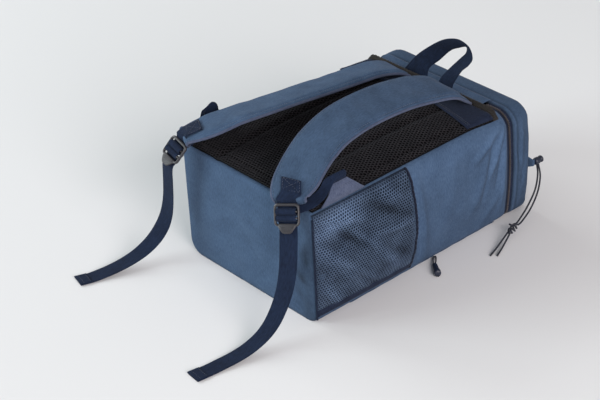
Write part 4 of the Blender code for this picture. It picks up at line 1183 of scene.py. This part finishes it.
def moulded_finish(name, colour, grain):
    """Moulded plastic with a fine grain and slightly uneven gloss."""
    made = bpy.data.materials.new(name)
    made.use_nodes = True
    nodes, links = made.node_tree.nodes, made.node_tree.links
    shader = nodes["Principled BSDF"]
    where = nodes.new("ShaderNodeTexCoord")
    speck = nodes.new("ShaderNodeTexNoise")
    speck.inputs["Scale"].default_value = 1.0 / grain
    speck.inputs["Detail"].default_value = 3.0
    links.new(where.outputs["Object"], speck.inputs["Vector"])
    ramp = nodes.new("ShaderNodeValToRGB")
    ramp.color_ramp.elements[0].color = (*(0.8 * c for c in colour), 1.0)
    ramp.color_ramp.elements[1].color = (*(1.25 * c for c in colour), 1.0)
    links.new(speck.outputs["Fac"], ramp.inputs["Fac"])
    links.new(ramp.outputs["Color"], shader.inputs["Base Color"])
    rough = nodes.new("ShaderNodeMapRange")
    rough.inputs["To Min"].default_value = 0.34
    rough.inputs["To Max"].default_value = 0.55
    links.new(speck.outputs["Fac"], rough.inputs["Value"])
    links.new(rough.outputs["Result"], shader.inputs["Roughness"])
    bump = nodes.new("ShaderNodeBump")
    bump.inputs["Strength"].default_value = 0.15
    bump.inputs["Distance"].default_value = 0.0002
    links.new(speck.outputs["Fac"], bump.inputs["Height"])
    links.new(bump.outputs["Normal"], shader.inputs["Normal"])
    return made


buckle_finish = moulded_finish("buckle_plastic", buckle_grey, 0.0012)


def joined(name, meshes):
    """One mesh from several."""
    build = bmesh.new()
    for mesh in meshes:
        build.from_mesh(mesh)
        bpy.data.meshes.remove(mesh)
    whole = bpy.data.meshes.new(name)
    bmesh.ops.recalc_face_normals(build, faces=build.faces)
    build.to_mesh(whole)
    build.free()
    return whole


def buckle_rail():
    """Middle line of the buckle's frame as (across, down) places, once round."""
    half, top, foot, corner = 0.0160, 0.0020, 0.0285, 0.0045
    points = []
    for x, y, start in ((half - corner, top + corner, -90), (half - corner, foot - corner, 0),
                        (-half + corner, foot - corner, 90), (-half + corner, top + corner, 180)):
        points += [(x + corner * math.cos(math.radians(start + 15 * k)),
                    y + corner * math.sin(math.radians(start + 15 * k))) for k in range(7)]
    return points + points[:1]


buckle_lean = {"right": None, "left": (Vector((-1.0, 0.08, 0.12)), Vector((-0.20, -0.62, -0.76)))}
buckle_shift = {"right": -0.0030, "left": 0.0}
buckle_axes = {}
for label in ("right", "left"):
    side = strap_side[label]
    centre, half, out_way, pad_share = strap_frames(label, 22)[-1]
    down = Vector((0.33 * side, -0.31, -0.89)).normalized()
    across = half.normalized() * side
    if buckle_lean[label]:
        across, down = (way.normalized() for way in buckle_lean[label])
    across = (across - down * across.dot(down)).normalized()
    out = down.cross(across) * side
    if out.y > 0:
        out.negate()
    origin = centre + down * 0.010 + out * 0.001 + across * buckle_shift[label]
    buckle_axes[label] = (origin, across, down, out)
    rail = buckle_rail()
    sections = []
    for i, (u, v) in enumerate(rail):
        before, after = rail[i - 1 if i else -2], rail[i + 1 if i < len(rail) - 1 else 1]
        way = Vector((after[0] - before[0], after[1] - before[1])).normalized()
        wide = 0.0021 if v < 0.005 else 0.0017
        sections.append([origin + across * (u + way.y * wide * math.cos(a)) + down * (v - way.x * wide * math.cos(a))
                         + out * (buckle_thick / 2 + 0.0023 * math.sin(a)) for a in (math.tau * k / 12 for k in range(12))])
    parts = [skin("rail", sections, ring=True)]
    for bar in (bar_strap, bar_grip):
        parts.append(skin("bar", [[origin + across * u + down * (bar + 0.0013 * math.cos(a))
                                   + out * (buckle_thick / 2 + 0.0014 * math.sin(a))
                                   for a in (math.tau * k / 10 for k in range(10))]
                                  for u in (-0.0155, 0.0, 0.0155)], ring=True, caps=True))
    tongue = []
    for v, wide, deep, lift in ((0.0262, 0.0100, 0.0010, 0.0006), (0.0270, 0.0126, 0.0017, 0.0006),
                                (0.0295, 0.0126, 0.0019, 0.0010), (0.0320, 0.0112, 0.0018, 0.0016),
                                (0.0345, 0.0092, 0.0017, 0.0020), (0.0370, 0.0074, 0.0015, 0.0020),
                                (0.0386, 0.0058, 0.0012, 0.0017), (0.0394, 0.0036, 0.0007, 0.0014)):
        tongue.append([origin + across * wide * math.copysign(abs(math.cos(a)) ** 0.5, math.cos(a))
                       + out * (buckle_thick / 2 + lift + deep * math.copysign(abs(math.sin(a)) ** 0.7, math.sin(a)))
                       + down * v for a in (math.tau * k / 24 for k in range(24))])
    parts.append(skin("tongue", tongue, ring=True, caps=True))
    buckle_mesh = joined("ladder_lock_moulded_" + label, parts)
    set_on_bag(bpy.data.objects.new("ladder_lock_moulded_" + label, buckle_mesh), buckle_finish,
               "buckle_plastic", "ladder_lock_" + label)
    ridges = []
    for k in range(3):
        v = 0.0300 + 0.0024 * k
        reach = (0.0126, 0.0104, 0.0082)[k] * 0.72
        ridges.append([origin + across * reach * (c / 8 - 1) + down * (v + 0.0010 * math.sin(math.pi * c / 16))
                       + out * (buckle_thick / 2 + 0.0029 + 0.0004 * k) for c in range(17)])
    grip = cord_curve("buckle_grip_" + label, ridges, 0.0005)
    set_on_bag(grip, buckle_finish, "buckle_plastic")


# Webbing. Navy ribbed tape, 25 mm wide: a patch sewn to each strap's end with a
# boxed cross of stitches, and the adjusting webbing with its long tail on the floor.
patch_half = 0.0142
loop_half = 0.0137
patch_from = {"right": 0.62, "left": 0.25}
webbing_navy = (0.0078, 0.0146, 0.0350)


def webbing_finish_of(name, colour, rib):
    """Ribbed webbing: ribs along its length and fine picks across."""
    made = woven_finish(name, colour, tuple(1.6 * c for c in colour), tuple(0.5 * c for c in colour),
                        0.0011, 0.35, 0.03)
    nodes, links = made.node_tree.nodes, made.node_tree.links
    cloth = nodes["UV Map"]
    ribs = nodes.new("ShaderNodeTexWave")
    ribs.bands_direction = "X"
    ribs.inputs["Scale"].default_value = 0.314 / rib
    links.new(cloth.outputs["UV"], ribs.inputs["Vector"])
    bump = nodes["Bump"]
    second = nodes.new("ShaderNodeBump")
    second.inputs["Strength"].default_value = 0.7
    second.inputs["Distance"].default_value = 0.0003
    links.new(ribs.outputs["Fac"], second.inputs["Height"])
    links.new(bump.outputs["Normal"], second.inputs["Normal"])
    links.new(second.outputs["Normal"], nodes["Principled BSDF"].inputs["Normal"])
    return made


webbing_finish = webbing_finish_of("navy_webbing", webbing_navy, 0.0021)


def webbing_mesh(name, stations, thickness, dense=3):
    """Flat tape with rounded edges along (centre, half-width vector) stations."""
    count = (len(stations) - 1) * dense + 1
    centres = smooth([centre for centre, half in stations], count)
    halves = smooth([half for centre, half in stations], count)
    rows = []
    for i, (centre, half) in enumerate(zip(centres, halves)):
        ahead = centres[min(i + 1, count - 1)] - centres[max(i - 1, 0)]
        out = ahead.cross(half).normalized() * thickness / 2
        row = []
        for u in (-1.0, -0.985, -0.94, -0.7, -0.35, 0.0, 0.35, 0.7, 0.94, 0.985, 1.0):
            row.append(centre + half * u + out * max(0.0, 1 - abs(u) ** 24) ** 0.5)
        for u in (0.985, 0.94, 0.7, 0.35, 0.0, -0.35, -0.7, -0.94, -0.985):
            row.append(centre + half * u - out * max(0.0, 1 - abs(u) ** 24) ** 0.5)
        rows.append(row)
    return skin(name, rows, ring=True, caps=True)


def wrap(bar, start, end, count):
    """Half turn of webbing about a bar, as (down, out) places."""
    a, b = buckle_bar / 2 + 0.0026, buckle_thick / 2 + 0.0031
    turns = [math.radians(start + (end - start) * k / (count - 1)) for k in range(count)]
    return [(bar - a * math.cos(turn), buckle_thick / 2 + b * math.sin(turn)) for turn in turns]


def tab_top(side):
    return Vector((side * (bag_half - 0.004), bag_bottom + 0.410 * 0.130, bag_depth + 0.028))


tail_rows = {
    "right": ((0.962, -0.598, 0.610, 0.05), (0.960, -0.630, 0.370, 0.25), (0.925, -0.685, 0.155, 0.50),
              (0.880, -0.770, 0.045, 0.80), (0.826, -0.880, 0.010, 0.95), (0.790, -0.962, 0.006, 1.00)),
    "left": ((0.975, -0.585, 0.515, 0.05), (1.040, -0.613, 0.290, 0.25), (1.130, -0.668, 0.130, 0.50),
             (1.205, -0.750, 0.050, 0.80), (1.290, -0.840, 0.012, 0.95), (1.355, -0.898, 0.006, 1.00)),
}
tail_middle = {"right": Vector((-1.0, 0.0, 0.0)), "left": Vector((-0.90, -0.55, 0.10))}
tail_end = {"right": Vector((1.0, -0.10, 0.0)), "left": Vector((0.97, -0.23, 0.0))}
tab_arch = (((0.0, 0.0, 0.0005), (0.0, -1.0, 0.0)), ((0.0005, -0.0005, 0.0090), (0.05, -1.0, 0.0)),
            ((0.0, -0.0050, 0.0135), (0.15, -0.96, -0.10)), ((-0.0008, -0.0110, 0.0110), (0.30, -0.90, -0.25)),
            ((-0.0025, -0.0185, 0.0015), (0.42, -0.82, -0.42)),
            ((-0.0060, -0.0330, -0.0125), (0.75, -0.62, -0.15)),
            ((-0.0100, -0.0510, -0.0205), (0.85, -0.50, 0.0)))
for label in ("right", "left"):
    side = strap_side[label]
    origin, across, down, out = buckle_axes[label]
    half_width = webbing_width / 2
    frames = strap_frames(label, 22)
    patch = []
    for step, slide in ((patch_from[label], -0.0035), (1.30, 0.0), (2.0, 0.0032)):
        first, second = frames[-3 + min(int(step), 1)], frames[-2 + min(int(step), 1)]
        share = step - min(int(step), 1)
        centre, half, pad = (first[i] + (second[i] - first[i]) * share for i in (0, 1, 3))
        normal = (frames[-1][0] - frames[-3][0]).cross(half).normalized()
        if side < 0:
            slide = 0.0
        patch.append((centre + half.normalized() * slide + normal * (0.0020 + strap_pad * pad + webbing_thick / 2),
                      half.normalized() * patch_half))
    patch_sew = list(patch)
    for v, w in ((-0.0062, 0.0034), (-0.0028, 0.0012), (0.0012, -0.0014), (0.0045, -0.0018),
                 *wrap(bar_strap, -25, 205, 8), (0.0125, -0.0019), (0.0095, -0.0032), (0.0050, -0.0036)):
        patch.append((origin + down * v + out * w, across * side * loop_half))
    patch_piece = set_on_bag(bpy.data.objects.new("patch_webbing_" + label,
                                                  webbing_mesh("patch_webbing_" + label, patch, webbing_thick, 4)),
                             webbing_finish, "navy_webbing", "strap_patch_" + label)
    (p0, h0), (p2, h2) = patch_sew[0], patch_sew[2]
    normal = (p2 - p0).cross(h0).normalized()
    box = [p0.lerp(p2, s) + h0.lerp(h2, s) * u * 0.84 + normal * webbing_thick * 0.62
           for s, u in ((0.06, -1), (0.06, 1), (0.86, 1), (0.86, -1))]
    cross = [([box[a], box[b]], [normal, normal])
             for a, b in ((0, 1), (1, 2), (2, 3), (3, 0), (0, 2), (1, 3))]
    set_on_bag(bpy.data.objects.new("patch_stitches_" + label, stitch_mesh("patch_stitches_" + label, cross)),
               thread_navy, "navy_webbing")
    stations = []
    top = tab_top(side)
    for offset, direction in tab_arch:
        stations.append((top + Vector((side * offset[0], offset[1], offset[2])),
                         Vector((-side * direction[0], direction[1], direction[2])).normalized() * half_width))
    turned = -across * side
    for v, w in ((bar_grip - 0.005, -0.004), *wrap(bar_grip, -20, 215, 9), (bar_grip + 0.0045, -0.0019),
                 (bar_grip + buckle_slot + 0.004, -0.0020), (buckle_length * 0.95, -0.0022)):
        stations.append((origin + down * v + out * w, turned * (loop_half if v < 0.024 else half_width)))
    rows = [(*stations[-1][0], 0.0)] + [
        (side * x * bag_half, y * 0.410, z * bag_depth, turn) for x, y, z, turn in tail_rows[label]]
    path = smooth([row[:3] for row in rows], 16)
    turns = smooth([(row[3], 0.0, 0.0) for row in rows], 16)
    for spot, turn in zip(path[1:], turns[1:]):
        share = min(1.0, max(0.0, turn[0]))
        direction = turned.lerp(tail_middle[label], min(1.0, 2 * share) if label == "left" else 0.0)
        direction = direction.lerp(-tail_end[label], share).normalized()
        spot.z = max(spot.z, webbing_thick / 2 + 0.0002)
        stations.append((spot, direction * half_width))
    set_on_bag(bpy.data.objects.new("adjusting_webbing_" + label,
                                    webbing_mesh("adjusting_webbing_" + label, stations, webbing_thick, 3)),
               webbing_finish, "navy_webbing", "adjuster_webbing_" + label)
    (e0, g0), (e1, g1) = stations[-1], stations[-2]
    back = (e1 - e0).normalized()
    hem_stations = [(e0 + back * 0.017 * k / 4 + Vector((0, 0, 0.0014 - 0.0001 * k)), g0.lerp(g1, k / 8))
                    for k in range(5)]
    set_on_bag(bpy.data.objects.new("tail_hem_" + label,
                                    webbing_mesh("tail_hem_" + label, hem_stations, webbing_thick, 2)),
               webbing_finish, "navy_webbing")
    seams = []
    for share in (1.2, 3.4):
        middle = e0 + back * 0.017 * share / 4 + Vector((0, 0, 0.0022))
        seams.append(([middle - g0 * 0.9, middle + g0 * 0.9], [Vector((0, 0, 1))] * 2))
    set_on_bag(bpy.data.objects.new("tail_stitches_" + label, stitch_mesh("tail_stitches_" + label, seams)),
               thread_navy, "navy_webbing")


# Side tabs. A triangle of body cloth is sewn into each side seam, near the bottom,
# and holds the end of the adjusting webbing in its point.
# A paler, more lavender copy of the body cloth: painted light, as on the lit face of the tab.
tab_lit_finish = woven_finish("tab_painted_lit_cloth", (0.066, 0.082, 0.132), (0.110, 0.126, 0.186), (0.034, 0.046, 0.082),
                          0.0007, 0.3, 0.15, 60.0)
for label in ("right", "left"):
    side = strap_side[label]
    foot_x = side * (bag_half - back_radius * 0.55)
    foot_y = bag_bottom + 0.410 * 0.143
    top = tab_top(side)
    rows = []
    for r in range(17):
        share = r / 16
        half = (0.078 + (webbing_width + 0.002 - 0.078) * share) / 2
        y = foot_y + (top.y - foot_y) * share
        x = foot_x + (top.x - foot_x) * share + side * 0.003 * math.sin(math.pi * share)
        z = bag_depth + 0.0003 + (top.z - 0.0001 - bag_depth) * share
        row = []
        for c in range(25):
            u = c / 12 - 1
            belly = 0.0012 * math.sin(math.pi * share) * (1 - u * u) + ripple(Vector((u, share * 2, side)), 0.5, 0.0006)
            row.append(Vector((x + side * belly, y + half * u, z)))
        rows.append(row)
    tab = set_on_bag(bpy.data.objects.new("tab_cloth_" + label, skin("tab_cloth_" + label, rows)),
                     tab_lit_finish, "body_fabric", "side_tab_" + label)
    thicken(tab, 0.0016, 0.0)
    seams = []
    for r in (12, 15):
        seam = [spot + Vector((side * 0.0009, 0, 0)) for spot in rows[r][2:-2]]
        seams.append((seam, [Vector((side, 0, 0))] * len(seam)))
    set_on_bag(bpy.data.objects.new("tab_stitches_" + label, stitch_mesh("tab_stitches_" + label, seams)),
               thread_navy, "body_fabric")


# Carry handle. A loop of the navy webbing, folded by its own weight; both ends are
# sewn down behind the binding.
handle_span = 0.064
handle_rise = 0.094
handle_width = 0.027
handle_rows = (
    (-0.590, 0.010, (1.85, 0.00, 0.00)), (-0.365, 0.290, (0.95, 0.15, -0.40)),
    (-0.015, 0.520, (0.55, 0.42, -0.68)), (0.380, 0.760, (0.22, 0.58, -0.70)),
    (0.670, 0.870, (0.08, 0.60, -0.72)), (0.900, 0.920, (-0.18, 0.60, -0.66)),
    (1.060, 0.880, (-0.60, 0.48, -0.46)), (1.090, 0.760, (-0.86, 0.40, -0.16)),
    (0.970, 0.640, (-0.90, 0.40, 0.00)), (0.790, 0.510, (-0.88, 0.44, 0.00)),
    (0.590, 0.340, (-0.94, 0.25, 0.00)), (0.400, 0.150, (-1.00, 0.05, 0.00)),
    (0.360, 0.010, (-1.00, 0.00, 0.00)),
)
handle_stations = [(Vector((across * handle_span, binding_top + 0.0015, bag_depth + 0.0005 + handle_rise * rise)),
                    Vector(way) * handle_width / 2) for across, rise, way in handle_rows]
handle = set_on_bag(bpy.data.objects.new("handle_webbing", webbing_mesh("handle_webbing", handle_stations, webbing_thick, 8)),
                    webbing_finish, "navy_webbing", "carry_handle")


# Front pocket zip. Under the rounded right edge runs the covered zip of the front
# pocket; its puller, a doubled cord in a moulded end, lies out on the floor.
zip_rows = []
for r in range(41):
    y = 0.410 * 0.34 * (r / 20 - 1)
    row = []
    for angle in (24, 28, 33, 38, 42):
        turn = math.radians(angle)
        radius = front_radius + 0.0006 + 0.0002 * math.sin(r * 1.3)
        row.append(Vector((bag_half - front_radius + radius * math.sin(turn), y,
                           max(0.0001, front_radius - radius * math.cos(turn)))))
    zip_rows.append(row)
front_zip = set_on_bag(bpy.data.objects.new("front_zip_cloth", skin("front_zip_cloth", zip_rows)), body_finish,
                       "body_fabric", "front_zip")
thicken(front_zip, 0.0007)

puller_length = 0.026
puller_radius = 0.0044
puller_start = Vector((bag_half + 0.0145, 0.001, puller_radius + 0.0003))
puller_way = (Vector((bag_half + 0.0145 + puller_length * 0.82, 0.001 - puller_length * 0.57,
                      puller_radius * 1.15 + 0.0003)) - puller_start).normalized()
puller_across = puller_way.cross(Vector((0, 0, 1))).normalized()
puller_up = puller_across.cross(puller_way)
puller_rows = []
for share, wide in ((0.0, 0.40), (0.01, 0.62), (0.04, 0.76), (0.10, 0.84), (0.25, 0.88), (0.45, 0.92),
                    (0.62, 0.97), (0.66, 1.02), (0.72, 1.10), (0.88, 1.15), (0.95, 1.10), (0.985, 0.98),
                    (1.0, 0.80)):
    centre = puller_start + puller_way * puller_length * share
    centre.z = puller_radius * max(wide, 0.7) + 0.0003
    puller_rows.append([centre + (puller_across * math.cos(a) + puller_up * math.sin(a)) * puller_radius * wide
                        for a in (math.tau * k / 20 for k in range(20))])
lock_finish = moulded_finish("navy_plastic", (0.009, 0.013, 0.028), 0.0012)
puller = set_on_bag(bpy.data.objects.new("puller_end_moulded", skin("puller_end_moulded", puller_rows, ring=True, caps=True)),
                    lock_finish, "lock_plastic", "puller_end")
puller_gap = 0.0011 * 1.4
puller_anchor = Vector((bag_half - 0.0002, 0.0165, 0.0018))
puller_tail = puller_start - puller_way * 0.00045
puller_route = [puller_tail + puller_across * puller_gap,
                puller_anchor.lerp(puller_tail, 0.5) + puller_across * puller_gap * 1.3,
                puller_anchor + puller_across * puller_gap, puller_anchor - puller_way * 0.001,
                puller_anchor - puller_across * puller_gap,
                puller_anchor.lerp(puller_tail, 0.5) - puller_across * puller_gap * 1.3,
                puller_tail - puller_across * puller_gap]
set_on_bag(cord_curve("puller_cord_loop", [smooth(puller_route, 31)], 0.0011), cord_finish, "cord", "puller_cord")


# Cord lock. A small moulded barrel with its spring plunger, held to the lid's corner
# by a folded tab of body cloth.
lock_place = Vector((0.1380, 0.2130, 0.0725))
lock_length = 0.015
lock_radius = 0.0052
lock_rows = []
for share, wide in ((0.0, 0.62), (0.02, 0.78), (0.06, 0.92), (0.12, 1.0), (0.30, 1.02), (0.50, 1.0), (0.56, 0.92),
                    (0.60, 0.74), (0.74, 0.72), (0.77, 0.86), (0.80, 0.95), (0.90, 0.97), (0.96, 0.90), (0.99, 0.74),
                    (1.0, 0.60)):
    lock_rows.append([lock_place + Vector((math.cos(a) * lock_radius * wide, lock_length * share,
                                           math.sin(a) * lock_radius * wide))
                      for a in (-math.tau * k / 24 for k in range(24))])
lock = set_on_bag(bpy.data.objects.new("cord_lock_moulded", skin("cord_lock_moulded", lock_rows, ring=True, caps=True)),
                  lock_finish, "lock_plastic", "cord_lock")
upright = Vector((0, 0, 0.009))
loop_root = Vector((bag_half - 0.010, bag_top + 0.0008, lock_place.z))
loop_tip = lock_place + Vector((0, -0.0003, 0))
loop_stations = [(loop_root, upright), (loop_root + Vector((0.006, 0.0012, 0)), upright),
                 (loop_tip + Vector((0, -0.003, 0)), upright * 0.6), (loop_tip, upright * 0.5)]
set_on_bag(bpy.data.objects.new("cord_lock_tab", webbing_mesh("cord_lock_tab", loop_stations, 0.0016, 6)),
           body_finish, "body_fabric", "cord_loop")
